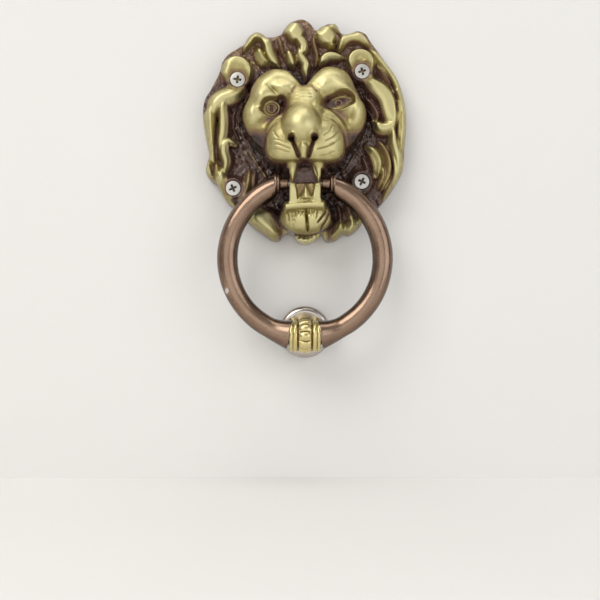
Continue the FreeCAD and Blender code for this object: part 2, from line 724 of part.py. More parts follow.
def ring_band():
    """Brass band: two ringed collars and the fluted barrel, bored for the dowel."""
    across = FreeCAD.Vector(1, 0, 0)
    axis_point = vector(0, pivot_height, -pivot_drop - band_drop())
    half = band_width / 2
    inner = band_barrel_width / 2
    outer = band_collar_diameter / 2
    neck = band_groove_diameter / 2
    groove = (half + inner) / 2
    side = [
        (0, 0), (neck, 0), (neck, inner + band_bevel), (outer, inner + 2 * band_bevel),
        (outer, groove - band_groove_width / 2), (neck + band_groove_lift, groove),
        (outer, groove + band_groove_width / 2), (outer, half - band_bevel),
        (outer - band_bevel, half), (0, half),
    ]
    band = fluted_barrel(axis_point)
    band = band.fuse([turned(side, axis_point, across), turned(side, axis_point, across * -1)])
    return leaned(band.cut(rod(dowel_diameter, axis_point - across * half, across, band_width)))


def ring_dowel():
    """Steel dowel that joins both arms through the band."""
    start = vector(-dowel_length / 2, pivot_height, -pivot_drop - band_drop())
    return leaned(rod(dowel_diameter, start, FreeCAD.Vector(1, 0, 0), dowel_length))


def striker_thickness():
    """Striker reaches from the door to just short of the band."""
    lean = math.radians(ring_tilt_angle)
    band_height = pivot_height + band_drop() * math.sin(lean)
    return band_height - band_barrel_diameter / 2 - striker_gap


def striker_button():
    """Round button with a rolled rim and a dished face, drilled behind for its stud."""
    radius = striker_diameter / 2
    thick = striker_thickness()
    button = rod(striker_diameter, vector(0, 0, -striker_drop), outward(), thick)
    front = [edge for edge in button.Edges if edge.BoundBox.YMax < -thick + 0.01]
    button = button.makeFillet(striker_round, front)
    dish_radius = radius - striker_round
    ball = (dish_radius ** 2 + striker_dish ** 2) / (2 * striker_dish)
    dish = Part.makeSphere(ball, vector(0, thick + ball - striker_dish, -striker_drop))
    hole = rod(stud_root_diameter, vector(0, 0, -striker_drop), outward(), stud_grip)
    return button.cut([dish, hole])


def striker_stud():
    """Stud held in the button, with a point that goes into the door."""
    root = stud_root_diameter / 2
    radius = stud_diameter / 2
    profile = [
        (0, 0), (root, 0), (root, stud_grip), (radius, stud_grip),
        (radius, stud_length - stud_tip), (0, stud_length),
    ]
    return turned(profile, vector(0, stud_grip, -striker_drop), outward() * -1)


PARTS = {
    "lion_mask": lion_mask,
    "mask_screws": mask_screws,
    "left_ring_arm": left_ring_arm,
    "right_ring_arm": right_ring_arm,
    "pivot_pin": pivot_pin,
    "ring_band": ring_band,
    "ring_dowel": ring_dowel,
    "striker_button": striker_button,
    "striker_stud": striker_stud,
}

os.makedirs("parts", exist_ok=True)
for node, build in PARTS.items():
    build().exportStep("parts/" + node + ".step")
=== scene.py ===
import math
import bmesh
import bpy
import numpy as np
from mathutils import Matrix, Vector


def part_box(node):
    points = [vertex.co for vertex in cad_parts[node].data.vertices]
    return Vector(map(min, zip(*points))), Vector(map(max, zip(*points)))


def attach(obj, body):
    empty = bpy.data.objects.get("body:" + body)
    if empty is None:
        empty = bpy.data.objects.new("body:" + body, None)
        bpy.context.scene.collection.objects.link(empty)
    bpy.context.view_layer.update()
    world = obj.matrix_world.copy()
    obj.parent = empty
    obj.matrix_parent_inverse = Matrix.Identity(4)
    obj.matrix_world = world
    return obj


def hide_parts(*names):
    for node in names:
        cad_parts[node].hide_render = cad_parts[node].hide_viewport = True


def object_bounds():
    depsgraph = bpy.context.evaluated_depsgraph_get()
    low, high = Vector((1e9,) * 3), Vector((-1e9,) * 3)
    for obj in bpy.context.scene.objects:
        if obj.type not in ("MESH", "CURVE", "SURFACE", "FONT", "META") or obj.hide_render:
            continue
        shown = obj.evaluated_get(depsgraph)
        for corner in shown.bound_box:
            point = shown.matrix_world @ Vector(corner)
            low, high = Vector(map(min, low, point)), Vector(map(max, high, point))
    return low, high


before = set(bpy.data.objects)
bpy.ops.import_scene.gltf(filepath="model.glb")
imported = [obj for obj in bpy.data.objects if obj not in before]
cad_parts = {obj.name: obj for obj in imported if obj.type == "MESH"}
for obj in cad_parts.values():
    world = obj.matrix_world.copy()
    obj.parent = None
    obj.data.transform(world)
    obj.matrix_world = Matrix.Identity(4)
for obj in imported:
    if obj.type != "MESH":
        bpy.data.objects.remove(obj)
CAD_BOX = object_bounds()


# Lion mask: one hollow die casting of brass-coloured metal, lacquered dark all over and rubbed
# bright on its high places. Four screws hold it to the door, and the pillar of its jaw carries
# the ring. It is drawn in millimetres: x across, z up, height out from the door.
MM = 0.001
MASK_LOW, MASK_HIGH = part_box("lion_mask")
HALF_WIDTH = (MASK_HIGH[0] - MASK_LOW[0]) / 2 / MM
HALF_HEIGHT = (MASK_HIGH[2] - MASK_LOW[2]) / 2 / MM
NOSE_HEIGHT = -MASK_LOW[1] / MM
RIM_HEIGHT = 4.0
RIM_ROUND = 5.5
RIM_RISE = 10.5
RIM_WIDTH = 4.2
VALLEY = 9.0
CREST = 13.4
LOCK_FULLNESS = 1.24
NO_FORM = -50.0
FAR = 1e9

# Outline of the casting, clockwise from the top, as shares of its half sizes.
OUTLINE = [
    (0.00, 1.00), (0.06, 0.96), (0.11, 0.905), (0.155, 0.935), (0.24, 0.965), (0.31, 0.955),
    (0.365, 0.875), (0.44, 0.88), (0.52, 0.90), (0.60, 0.87), (0.65, 0.80), (0.78, 0.64),
    (0.90, 0.485), (0.97, 0.31), (1.00, 0.08), (0.98, -0.16), (0.975, -0.27), (0.955, -0.365),
    (0.86, -0.52), (0.76, -0.64), (0.68, -0.715), (0.60, -0.77), (0.52, -0.865), (0.44, -0.92),
    (0.375, -0.91), (0.32, -0.955), (0.25, -0.98), (0.20, -0.965), (0.165, -0.915),
    (0.12, -0.955), (0.06, -0.985), (0.00, -1.00), (-0.07, -0.975), (-0.12, -0.92),
    (-0.17, -0.905), (-0.22, -0.925), (-0.25, -0.965), (-0.31, -0.97), (-0.37, -0.94),
    (-0.54, -0.82), (-0.63, -0.725), (-0.76, -0.63), (-0.82, -0.54), (-0.87, -0.465),
    (-0.935, -0.42), (-0.975, -0.34), (-0.945, -0.21), (-0.975, -0.05), (-1.00, 0.10),
    (-1.00, 0.22), (-0.975, 0.305), (-0.92, 0.385), (-0.84, 0.53), (-0.815, 0.615),
    (-0.755, 0.69), (-0.65, 0.75), (-0.60, 0.78), (-0.555, 0.845), (-0.49, 0.885),
    (-0.425, 0.88), (-0.37, 0.845), (-0.295, 0.85), (-0.235, 0.87), (-0.205, 0.915),
    (-0.15, 0.97), (-0.07, 1.00),
]

# Each lock: half width, rise over the usual crest, lean (steeper to its left or right), how
# brightly it was rubbed, then the way its crest runs.
LOCKS = [
    (3.2, -1.0, 0.0, 0.85,
     [(42.6, 24.6), (44.8, 17.0), (45.4, 9.0), (45.2, 1.0), (45.2, -7.0), (45.0, -15.0)]),
    (2.6, -1.2, 0.0, 0.75, [(-42.4, -15.0), (-42.6, -20.6), (-41.6, -26.6), (-38.0, -32.6)]),
    (2.7, 2.6, 0.3, 1.0, [(-7.8, 50.6), (-6.4, 48.2), (-4.4, 45.4), (-2.6, 43.2)]),
    (1.7, 2.2, 0.3, 1.0, [(-4.8, 45.8), (-2.4, 42.8), (-1.0, 40.4), (-1.2, 38.0), (-2.4, 36.4)]),
    (1.6, 2.0, -0.2, 1.0,
     [(-3.0, 38.4), (-2.2, 35.8), (-0.6, 33.4), (0.6, 31.2), (0.3, 28.0), (0.6, 23.6)]),
    (1.6, 0.8, 0.4, 0.9,
     [(-28.8, 38.6), (-26.8, 42.0), (-24.0, 44.6), (-20.8, 44.4), (-18.7, 41.0)]),
    (1.6, 1.6, 0.6, 1.0,
     [(-21.0, 44.4), (-18.7, 41.0), (-17.5, 36.5), (-15.5, 32.9), (-12.9, 30.2)]),
    (2.3, 0.2, -0.3, 0.85, [(-22.4, 39.6), (-21.4, 36.8), (-20.2, 34.2), (-17.4, 31.6)]),
    (1.7, 1.2, 0.0, 1.0, [(-8.2, 38.0), (-7.1, 34.5), (-5.6, 29.8)]),
    (3.2, 1.4, 0.3, 1.0,
     [(-29.6, 18.8), (-34.4, 17.4), (-39.4, 15.8), (-43.0, 12.6), (-45.0, 7.6)]),
    (2.3, 1.2, 0.2, 1.0,
     [(-43.6, 13.4), (-45.6, 8.0), (-46.2, 2.0), (-46.3, -3.6), (-45.6, -9.6), (-44.0, -15.0)]),
    (1.9, 1.4, 0.6, 1.0,
     [(-38.0, 15.0), (-39.7, 10.6), (-39.6, 5.0), (-39.8, -0.6), (-40.6, -5.2), (-41.0, -9.4)]),
    (1.9, 1.2, 0.6, 1.0,
     [(-33.6, -6.4), (-36.6, -5.2), (-39.0, -7.2), (-39.3, -11.0), (-38.2, -15.2),
                          (-38.8, -20.0)]),
    (2.4, 0.8, 0.2, 1.0,
     [(-39.6, -18.6), (-40.6, -22.6), (-40.4, -27.0), (-38.6, -31.6), (-35.2, -37.0)]),
    (1.3, -0.4, 0.0, 0.8, [(-42.6, -15.0), (-42.4, -19.0), (-41.0, -23.0)]),
    (1.5, -1.4, 0.0, 0.95, [(-46.2, -14.6), (-46.4, -18.4), (-45.2, -22.6)]),
    (2.0, 0.0, 0.2, 0.55, [(-26.6, -19.4), (-27.4, -25.0), (-29.4, -31.0), (-31.2, -36.0)]),
    (1.3, -1.4, 0.0, 0.35, [(-23.6, -19.0), (-24.6, -24.0), (-24.4, -29.0)]),
    (4.0, 0.8, 0.6, 1.0, [(-24.4, -38.8), (-22.0, -43.2), (-18.2, -47.8), (-13.9, -52.2)]),
    (2.2, -1.8, -0.3, 0.8, [(-28.4, -41.0), (-25.0, -45.0), (-20.6, -49.0)]),
    (1.3, -1.6, 0.0, 0.3, [(-17.0, -37.0), (-14.8, -43.0), (-11.6, -49.0)]),
    (3.0, 2.4, 0.3, 1.0, [(6.6, 48.8), (8.6, 46.2), (10.4, 43.8), (12.2, 40.8)]),
    (1.6, 0.0, 0.0, 0.9, [(10.8, 47.6), (12.8, 49.3), (14.8, 49.2), (16.2, 47.4)]),
    (1.2, -1.0, 0.0, 0.3, [(14.2, 46.6), (15.6, 44.0), (15.0, 41.0)]),
    (1.8, 1.2, -0.4, 1.0, [(16.4, 38.8), (18.2, 43.0), (21.8, 45.2), (26.6, 44.6), (30.2, 41.4)]),
    (1.8, 1.6, -0.3, 1.0, [(7.4, 31.0), (9.0, 34.2), (12.0, 35.6), (17.6, 35.0)]),
    (1.3, -0.6, 0.0, 0.3, [(4.6, 47.0), (4.2, 42.0), (5.6, 36.0), (5.2, 30.0)]),
    (1.2, -0.8, 0.0, 0.3, [(-12.4, 45.0), (-11.6, 40.0), (-10.2, 35.0)]),
    (1.0, 0.0, 0.0, 0.3, [(-4.6, 36.4), (-3.8, 31.4)]),
    (1.9, 0.4, -0.2, 0.95,
     [(31.6, 38.4), (34.6, 35.2), (38.8, 30.6), (43.2, 24.4), (45.8, 18.8), (46.8, 13.8)]),
    (1.9, 0.4, 0.1, 0.95,
     [(46.0, 17.6), (47.0, 11.0), (47.1, 3.8), (47.2, -0.6), (46.4, -5.0), (46.0, -9.6)]),
    (1.4, 0.2, 0.0, 0.85, [(42.6, 19.8), (44.8, 17.4), (46.0, 13.6)]),
    (3.0, 2.2, -0.35, 1.0, [(29.4, 24.6), (33.2, 21.8), (37.0, 18.8), (39.6, 15.2), (40.9, 10.9),
                            (41.7, 6.3), (42.2, 2.2)]),
    (2.4, 1.6, 0.2, 1.0, [(43.4, 3.8), (40.2, 1.8), (36.8, 1.2), (34.2, 3.8)]),
    (2.0, 1.2, 0.0, 1.0, [(41.6, 3.6), (42.3, -2.0), (42.5, -6.4), (43.7, -11.2), (45.0, -16.3),
                          (45.4, -20.9), (43.4, -26.0)]),
    (1.5, 0.2, 0.0, 0.3, [(28.8, 15.4), (31.6, 12.4), (34.2, 8.0), (34.4, 4.6)]),
    (1.5, -0.6, 0.0, 0.38, [(34.4, 31.0), (38.4, 26.4), (41.4, 21.4)]),
    (2.3, 0.8, -0.5, 0.8,
     [(30.2, -8.0), (33.2, -10.4), (35.0, -13.6), (35.5, -17.1), (34.8, -21.6)]),
    (1.9, 0.0, 0.0, 0.58,
     [(35.4, -5.4), (38.6, -9.8), (40.4, -15.6), (39.8, -21.6), (36.8, -28.4)]),
    (1.8, 0.0, 0.0, 0.66,
     [(40.8, -9.0), (42.6, -15.0), (42.8, -21.0), (40.6, -27.6), (38.2, -32.6)]),
    (1.4, -0.4, 0.0, 0.5, [(37.4, -17.0), (37.2, -22.8), (34.6, -28.0)]),
    (1.2, -1.6, 0.0, 0.15, [(29.6, 10.2), (32.0, 6.6), (33.2, 2.0)]),
    (1.4, -1.8, 0.0, 0.15, [(27.6, -12.0), (29.4, -17.0), (31.6, -21.6)]),
    (1.3, -1.6, 0.0, 0.25, [(15.2, -34.8), (16.8, -40.4), (16.6, -46.4)]),
    (2.5, -0.2, -0.3, 0.95, [(17.6, -43.6), (16.0, -49.0), (11.4, -53.2)]),
    (2.3, -0.6, -0.2, 0.9, [(23.0, -41.6), (22.4, -46.6), (18.4, -50.8)]),
    (1.5, -0.8, 0.0, 0.35, [(20.0, -35.0), (21.4, -40.0), (23.0, -44.8)]),
    (1.8, -1.4, 0.0, 0.7, [(27.4, -40.0), (26.0, -44.0), (22.6, -47.8)]),
    (1.3, -2.4, 0.0, 0.2, [(-32.8, 11.0), (-34.6, 6.0), (-34.2, 1.0)]),
    (1.1, -2.4, 0.0, 0.2, [(-35.4, 3.6), (-33.4, -1.6), (-31.6, -6.0)]),
]

# Narrow dark creases between locks that lie against each other.
CREASES = [
    [(-40.8, 9.6), (-42.2, 5.0), (-42.9, 0.0), (-43.2, -6.0), (-43.0, -12.0), (-42.7, -18.6)],
    [(-43.8, -16.0), (-44.2, -19.6), (-43.4, -24.0)],
    [(38.6, 27.4), (41.6, 22.8), (43.6, 17.0), (44.2, 12.0)],
    [(43.6, 13.4), (43.9, 10.9), (44.2, 8.0)],
    [(44.4, 4.4), (44.0, -0.4), (44.2, -5.2)],
    [(38.0, -6.6), (40.8, -11.4), (42.0, -17.0), (41.6, -23.0), (38.6, -29.4)],
]

# Fine raised seam between the face's side walls and the mane, left and right, with a painted
# highlight along its ridge.
SEAMS = [
    [(-27.6, 35.4), (-24.8, 32.6), (-22.2, 29.8), (-22.4, 27.4), (-24.6, 22.4), (-27.4, 16.4),
     (-31.0, 10.6), (-31.9, 4.0), (-31.4, 0.4), (-28.9, -4.2), (-26.8, -9.6), (-23.6, -15.0),
     (-18.8, -22.4)],
    [(18.6, 36.0), (18.4, 31.0), (21.0, 27.4), (25.6, 20.8), (28.4, 14.0), (29.2, 6.0), (28.4, -1.6),
     (26.6, -7.6), (22.6, -13.8), (18.0, -21.4)],
]

# Edge of the face inside the mane.
FACE = [
    (0.0, 19.4), (-3.2, 22.2), (-8.0, 25.4), (-14.6, 26.4), (-21.0, 23.2), (-24.4, 18.0),
    (-25.6, 13.4), (-27.6, 9.6), (-28.6, 6.0), (-28.0, 1.6), (-25.4, -4.0), (-20.6, -9.0),
    (-14.0, -12.0), (0.0, -13.0), (14.0, -12.0), (20.4, -9.0), (24.6, -3.6), (27.0, 0.6), (28.0, 5.4),
    (27.4, 9.4), (24.8, 13.2), (23.0, 18.0), (20.0, 24.2), (15.6, 27.0), (9.4, 27.2), (3.4, 23.0),
]


def smooth_curve(points, spans, closed=False):
    """Points along the curve through the given points: each span is the cubic whose slopes at
    its ends are half the step between the neighbours on either side (Catmull-Rom)."""
    p = np.asarray(points, dtype=float)
    if closed:
        p = np.concatenate([p[-1:], p, p[:2]])
    else:
        p = np.concatenate([2 * p[:1] - p[1:2], p, 2 * p[-1:] - p[-2:-1]])
    t = np.linspace(0, 1, spans, endpoint=False)[None, :, None]
    a, b, c, d = (p[i:len(p) - 3 + i][:, None] for i in range(4))
    curve = 0.5 * (2 * b + (c - a) * t + (2 * a - 5 * b + 4 * c - d) * t ** 2
                   + (3 * b - a - 3 * c + d) * t ** 3)
    curve = curve.reshape(-1, p.shape[1])
    return curve if closed else np.concatenate([curve, p[-2:-1]])


def soft_max(a, b, blend):
    """Larger of two heights. Where they differ by less than blend, the square of what is left of
    blend, over four times blend, is added to round the crease."""
    gap = np.clip(blend - np.abs(a - b), 0, None)
    return np.maximum(a, b) + gap ** 2 / (4 * blend)


def step(value, low, high):
    """Nought below low, one above high, and an S-shaped rise between them."""
    t = np.clip((value - low) / (high - low), 0, 1)
    return t * t * (3 - 2 * t)


def smooth_table(value, places, results):
    """Result at each value, read from a smooth curve through the pairs given."""
    curve = smooth_curve(np.stack([places, results], axis=1), 10)
    return np.interp(value, curve[:, 0], curve[:, 1])


def turned(x, z, middle, turn):
    """Places measured from the middle, along and across a line at turn radians."""
    dx = x - middle[0]
    dz = z - middle[1]
    along = dx * math.cos(turn) + dz * math.sin(turn)
    across = dz * math.cos(turn) - dx * math.sin(turn)
    return along, across


def bell(x, z, middle, half_x, half_z, turn=0.0):
    """One at the middle, falling as a bell curve over the half sizes, turned by turn radians."""
    u, v = turned(x, z, middle, turn)
    return np.exp(-(u / half_x) ** 2 - (v / half_z) ** 2)


def oval(x, z, middle, half_x, half_z, turn=0.0):
    """Distance from the middle of a turned oval as a share of its half size that way: the root of
    the sum of the squares of each part over its half size."""
    u, v = turned(x, z, middle, turn)
    return np.hypot(u / half_x, v / half_z)


def along_curve(x, z, points, reach, spans=8):
    """For each place nearer than reach to the curve: its index, its distance to the curve with a
    sign (left of the way the curve runs is negative) and how far along it lies, nought to one."""
    curve = smooth_curve(points, spans)
    low = curve.min(axis=0) - reach
    high = curve.max(axis=0) + reach
    near = np.flatnonzero((x > low[0]) & (x < high[0]) & (z > low[1]) & (z < high[1]))
    place = np.stack([x[near], z[near]], axis=1)[:, None]
    start = curve[None, :-1]
    run = curve[None, 1:] - start
    part = np.clip(((place - start) * run).sum(2) / (run ** 2).sum(2), 0, 1)
    away = place - start - part[..., None] * run
    distance = np.hypot(away[..., 0], away[..., 1])
    best = distance.argmin(axis=1)
    row = np.arange(len(near))
    side = run[0, best, 0] * away[row, best, 1] - run[0, best, 1] * away[row, best, 0]
    signed = -np.sign(side) * distance[row, best]
    share = (best + part[row, best]) / (len(curve) - 1)
    return near, signed, share


def inside_face(x, z):
    """Distance in from the edge of the face, negative outside it. A place is inside where a line
    drawn from it to the right crosses the edge an odd number of times."""
    edge = smooth_curve(FACE, 5, closed=True)
    after = np.roll(edge, -1, axis=0)
    run = after - edge
    distance = np.full(x.shape, FAR)
    crossings = np.zeros(x.shape, dtype=int)
    for (ax, az), (dx, dz) in zip(edge, run):
        part = np.clip(((x - ax) * dx + (z - az) * dz) / (dx * dx + dz * dz), 0, 1)
        distance = np.minimum(distance, np.hypot(x - ax - part * dx, z - az - part * dz))
        spans = (az <= z) != (az + dz <= z)
        crossings += spans & (x < ax + dx * (z - az) / (dz if dz else 1e-9))
    return np.where(crossings % 2 == 1, distance, -distance)


def mane(x, z):
    """Height and brightness of the mane: a rippled floor with each lock laid on it as a ridge
    whose height falls with the square of the distance from its crest. Strands wave across the
    ridge as a cosine, and each crease is a bell-shaped groove that fades at its ends."""
    ripple = np.sin(x * 1.1 + 1.3 * np.sin(z * 0.5)) * np.sin(z * 0.9 + 1.1 * np.sin(x * 0.7))
    ripple += (0.3 * np.sin(x * 2.6 + 1.7 * np.sin(z * 1.3))
               * np.sin(z * 2.2 + 1.9 * np.sin(x * 1.1)))
    height = VALLEY + 0.6 * ripple
    # Painted light: between the locks the lacquer is lighter towards the top.
    bright = 0.18 + 0.32 * step(z, 14.0, 34.0)
    for half, rise, lean, tone, run in LOCKS:
        half = LOCK_FULLNESS * half
        near, signed, share = along_curve(x, z, run, 3.0 * half)
        taper = 1.1 - 0.5 * np.abs(2 * share - 1) ** 3
        across = signed / (half * taper)
        fall = 3.4 * (1 + lean * np.sign(across))
        crest = CREST + rise - 2.0 * np.abs(2 * share - 1) ** 4
        strand = (0.28 * (np.cos(across * 4.6 + 1.6 * share) - 1)
                  * np.clip(1.5 - np.abs(across), 0, 1))
        lock = crest - fall * across ** 2 + strand
        old = height[near]
        height[near] = soft_max(old, lock, 0.4)
        win = step(lock - old, -0.2, 0.4)
        lit = np.maximum(bright[near], tone * step(1.3 - np.abs(across), 0.0, 0.5))
        bright[near] = bright[near] * (1 - win) + lit * win
    for run in CREASES:
        near, signed, share = along_curve(x, z, run, 2.4)
        deep = np.exp(-(signed / 0.5) ** 2) * np.sin(np.pi * np.clip(share, 0.03, 0.97)) ** 0.5
        height[near] -= 1.6 * deep
        bright[near] *= 1 - 0.85 * deep
    return height, bright


# Each ear: middle, half sizes, depth of its cup, height of its top, turn.
EARS = [((-32.4, 28.4), 7.8, 7.2, 0.0, 15.8, -0.5), ((26.8, 32.6), 6.9, 6.2, 3.0, 16.2, -0.35)]


def ears(x, z, height, bright):
    """Left ear: a domed flap with a rolled edge. Right ear: a cup with a thick rim, open below.
    Each falls with the square of the reach past its crown, and its edge is a bell over reach."""
    for middle, half_x, half_z, cup, top, lean in EARS:
        u, v = turned(x, z, middle, lean)
        reach = np.hypot(u / half_x, v / half_z)
        flap = top - 6.0 * np.clip(reach - 0.6, 0, None) ** 2 / 0.2
        flap -= 1.2 * np.clip(-v / half_z, 0, None) ** 2
        flap -= cup * np.exp(-((reach / 0.55) ** 2)) * step(u / half_x, -0.9, 0.1)
        flap += 0.5 * np.exp(-((reach - 0.7) / 0.13) ** 2)
        win = step(flap - height, -0.2, 0.5)
        height = soft_max(height, flap, 0.5)
        shade = 1 - 0.25 * np.exp(-((reach - 0.4) / 0.2) ** 2)
        bright = bright * (1 - win) + win * step(1.22 - reach, 0.0, 0.25) * shade
    return height, bright


# Swells and hollows of the face, left then right: rise, middle, half sizes, turn.
BROWS_AND_CHEEKS = [
    (2.4, (-10.2, 17.0), 4.6, 2.9, -0.25), (3.2, (-20.0, 13.4), 4.8, 4.4, 0.5),
    (0.8, (-17.0, 21.0), 5.5, 2.8, 0.4), (-1.4, (-14.9, 16.0), 2.6, 0.9, -0.7),
    (1.8, (10.4, 20.6), 6.4, 4.6, -0.3), (1.4, (8.2, 16.4), 2.4, 2.6, -0.3),
    (3.4, (18.6, 16.0), 6.6, 2.9, -0.4), (1.6, (-25.0, 4.6), 3.6, 4.8, 0.0),
    (1.8, (25.0, 6.4), 3.0, 6.4, -0.1), (-1.6, (-18.2, 2.0), 4.4, 2.2, 0.5),
    (-1.6, (19.8, 3.4), 3.2, 3.6, -0.7), (-2.4, (-21.0, -5.4), 5.0, 3.0, -0.7),
    (-2.0, (22.4, -4.0), 4.4, 3.0, 0.9),
]


def forehead(x, z):
    """Face from brow to cheek before the muzzle: a crowned plane with the brows, cheeks and folds
    laid on it as bells, and the notch between the brows. Its edge falls off as a square, gently
    inside the outline and steeply outside."""
    deep = inside_face(x, z)
    crown = 24.6 - 2.0 * (x / 27) ** 2 - 1.4 * ((z - 8) / 20) ** 2
    height = crown - np.where(deep > 0, 2.6 * np.clip(1 - deep / 4.5, 0, 1) ** 2,
                              2.6 - 1.16 * deep + 1.5 * deep ** 2)
    for rise, middle, half_x, half_z, turn in BROWS_AND_CHEEKS:
        height += rise * bell(x, z, middle, half_x, half_z, turn)
    notch = (z - 17.4) - 1.2 * np.abs(x + 0.8)
    return height - 7.5 * step(notch, -0.8, 3.2)


# Eyes: the sockets (middle, half sizes, turn, floor), the round left ball, the almond of the
# right eye with its iris, and the raised lines of the lids (run, half width, rise).
SOCKETS = [((-14.0, 7.9), 6.2, 4.0, 0.22, 19.6), ((-11.0, 10.6), 2.4, 2.6, 0.2, 20.2),
           ((15.8, 10.8), 8.0, 3.5, 0.22, 20.2)]
LEFT_BALL = (-15.5, 7.8)
BALL_FLATTENING = 1.12
ALMOND = (16.6, 11.0)
ALMOND_TURN = 0.29
ALMOND_HALF = 7.2
IRIS = (15.6, 10.3)
LIDS = [
    ([(-23.0, 7.6), (-20.8, 8.0), (-19.2, 9.4)], 0.5, 0.8),
    ([(-22.6, 7.0), (-20.2, 5.6), (-18.6, 4.8)], 0.5, 0.8),
    ([(-21.4, 7.4), (-18.6, 4.6), (-15.0, 3.6), (-11.6, 5.0)], 0.6, 0.9),
    ([(10.6, 8.0), (14.0, 6.4), (18.4, 7.2), (22.4, 10.6)], 0.6, 0.8),
]


def eye_sockets(x, z, height):
    """Sockets cut under the brows as flat-bottomed bowls, each with a ball, its lids, iris and
    pupil. The left eye is round with a slit pupil, the right one an almond. A ball falls with
    the square of the reach, and each ring or lid on it is a bell over the distance to its line."""
    for middle, half_x, half_z, turn, floor in SOCKETS:
        reach = oval(x, z, middle, half_x, half_z, turn)
        bowl = floor + 11.0 * np.clip(reach - 0.66, 0, None) ** 1.3
        height = -soft_max(-height, -bowl, 1.3)
    reach = np.hypot(x - LEFT_BALL[0], (z - LEFT_BALL[1]) * BALL_FLATTENING)
    ball = 22.2 - 0.06 * reach ** 2 - 1.2 * np.clip(reach - 3.9, 0, None) ** 2
    ball += 0.9 * np.exp(-((reach - 3.6) / 0.45) ** 2)
    ball += 0.9 * np.exp(-((reach - 2.2) / 0.38) ** 2)
    ball -= 1.2 * bell(x, z, (-15.6, 7.8), 0.5, 1.5)
    height = soft_max(height, np.where(reach < 6.0, ball, NO_FORM), 0.3)
    u, v = turned(x, z, ALMOND, ALMOND_TURN)
    lid = np.where(v > 0, 2.3, 2.7) * np.clip(1 - (u / ALMOND_HALF) ** 2, 0, None) ** 0.8
    almond = 21.4 - 0.04 * u ** 2 - 1.8 * np.clip(np.abs(v) - lid - 0.2, 0, None) ** 2
    almond += 0.7 * np.exp(-((np.abs(v) - lid) / 0.34) ** 2) * (np.abs(u) < ALMOND_HALF)
    iris = np.hypot(x - IRIS[0], z - IRIS[1])
    almond += 0.6 * np.exp(-((iris - 1.5) / 0.3) ** 2) - 0.7 * np.exp(-(iris / 0.6) ** 2)
    height = soft_max(height, np.where(np.abs(u) < ALMOND_HALF + 0.6, almond, NO_FORM), 0.3)
    for run, half, rise in LIDS:
        near, signed, share = along_curve(x, z, run, 4 * half)
        fade = np.sin(np.pi * np.clip(share, 0.04, 0.96))
        height[near] += rise * np.exp(-(signed / half) ** 2) * fade
    return height


# Nose, nostrils, the folds from nose to cheek (run, half width, rise), and the lines beside and
# across the nose with the slits under the nostrils (run, half width, depth).
NOSE = (-1.7, -2.8)
NOSE_HALF = 8.2
NOSTRILS = [(-6.3, -8.2), (4.3, -7.9)]
FOLDS = [
    ([(5.0, 7.4), (9.6, 6.6), (14.0, 3.6), (17.4, -0.4), (19.2, -4.6), (19.4, -8.6)], 1.1, 2.0),
    ([(-8.0, 6.0), (-12.0, 3.2), (-15.4, 0.2), (-18.2, -3.6)], 1.2, 1.4),
]
NOSE_LINES = [
    ([(8.2, 2.4), (12.0, 1.6), (15.6, -1.0), (17.6, -4.6)], 0.6, 0.7),
    ([(-9.4, 1.6), (-13.0, 0.6), (-15.9, -2.0), (-17.4, -5.4)], 0.6, 0.6),
    ([(-6.0, -9.0), (-4.4, -12.4), (-2.5, -17.2)], 0.75, 2.8),
    ([(4.0, -8.8), (2.6, -12.4), (1.2, -17.2)], 0.75, 2.8),
    ([(-4.0, 14.4), (-0.4, 14.9), (3.2, 14.4)], 0.3, 0.3),
    ([(-4.6, 12.6), (-0.4, 13.1), (3.8, 12.6)], 0.3, 0.3),
    ([(-4.6, 10.8), (-0.4, 11.3), (3.8, 10.8)], 0.3, 0.3),
]

# Hair lines cut into the whisker pads and two short frown lines: run, half width, depth.
FACE_LINES = [
    ([(-4.4, 17.8), (-5.6, 15.6), (-6.6, 13.8)], 0.45, 0.6),
    ([(3.0, 17.8), (4.8, 15.6), (6.2, 14.0)], 0.45, 0.6),
    ([(12.6, -1.6), (11.2, -4.6), (8.4, -6.8)], 0.24, 0.5),
    ([(15.3, -4.2), (12.8, -7.2), (9.2, -9.3)], 0.24, 0.5),
    ([(16.2, -7.4), (14.0, -9.4), (11.0, -10.6)], 0.2, 0.35),
    ([(13.2, -10.2), (9.6, -12.0), (5.6, -13.1)], 0.26, 0.6),
    ([(13.4, -13.6), (10.0, -15.2), (6.4, -15.9)], 0.2, 0.3),
    ([(-14.4, -4.0), (-13.4, -6.4), (-12.0, -8.0)], 0.25, 0.4),
    ([(-13.6, -10.4), (-10.2, -11.6), (-6.8, -12.8)], 0.24, 0.45),
    ([(-13.4, -12.6), (-10.0, -13.6), (-7.2, -14.4)], 0.22, 0.4),
    ([(-14.4, -8.2), (-11.4, -9.2), (-8.8, -10.2)], 0.2, 0.3),
]


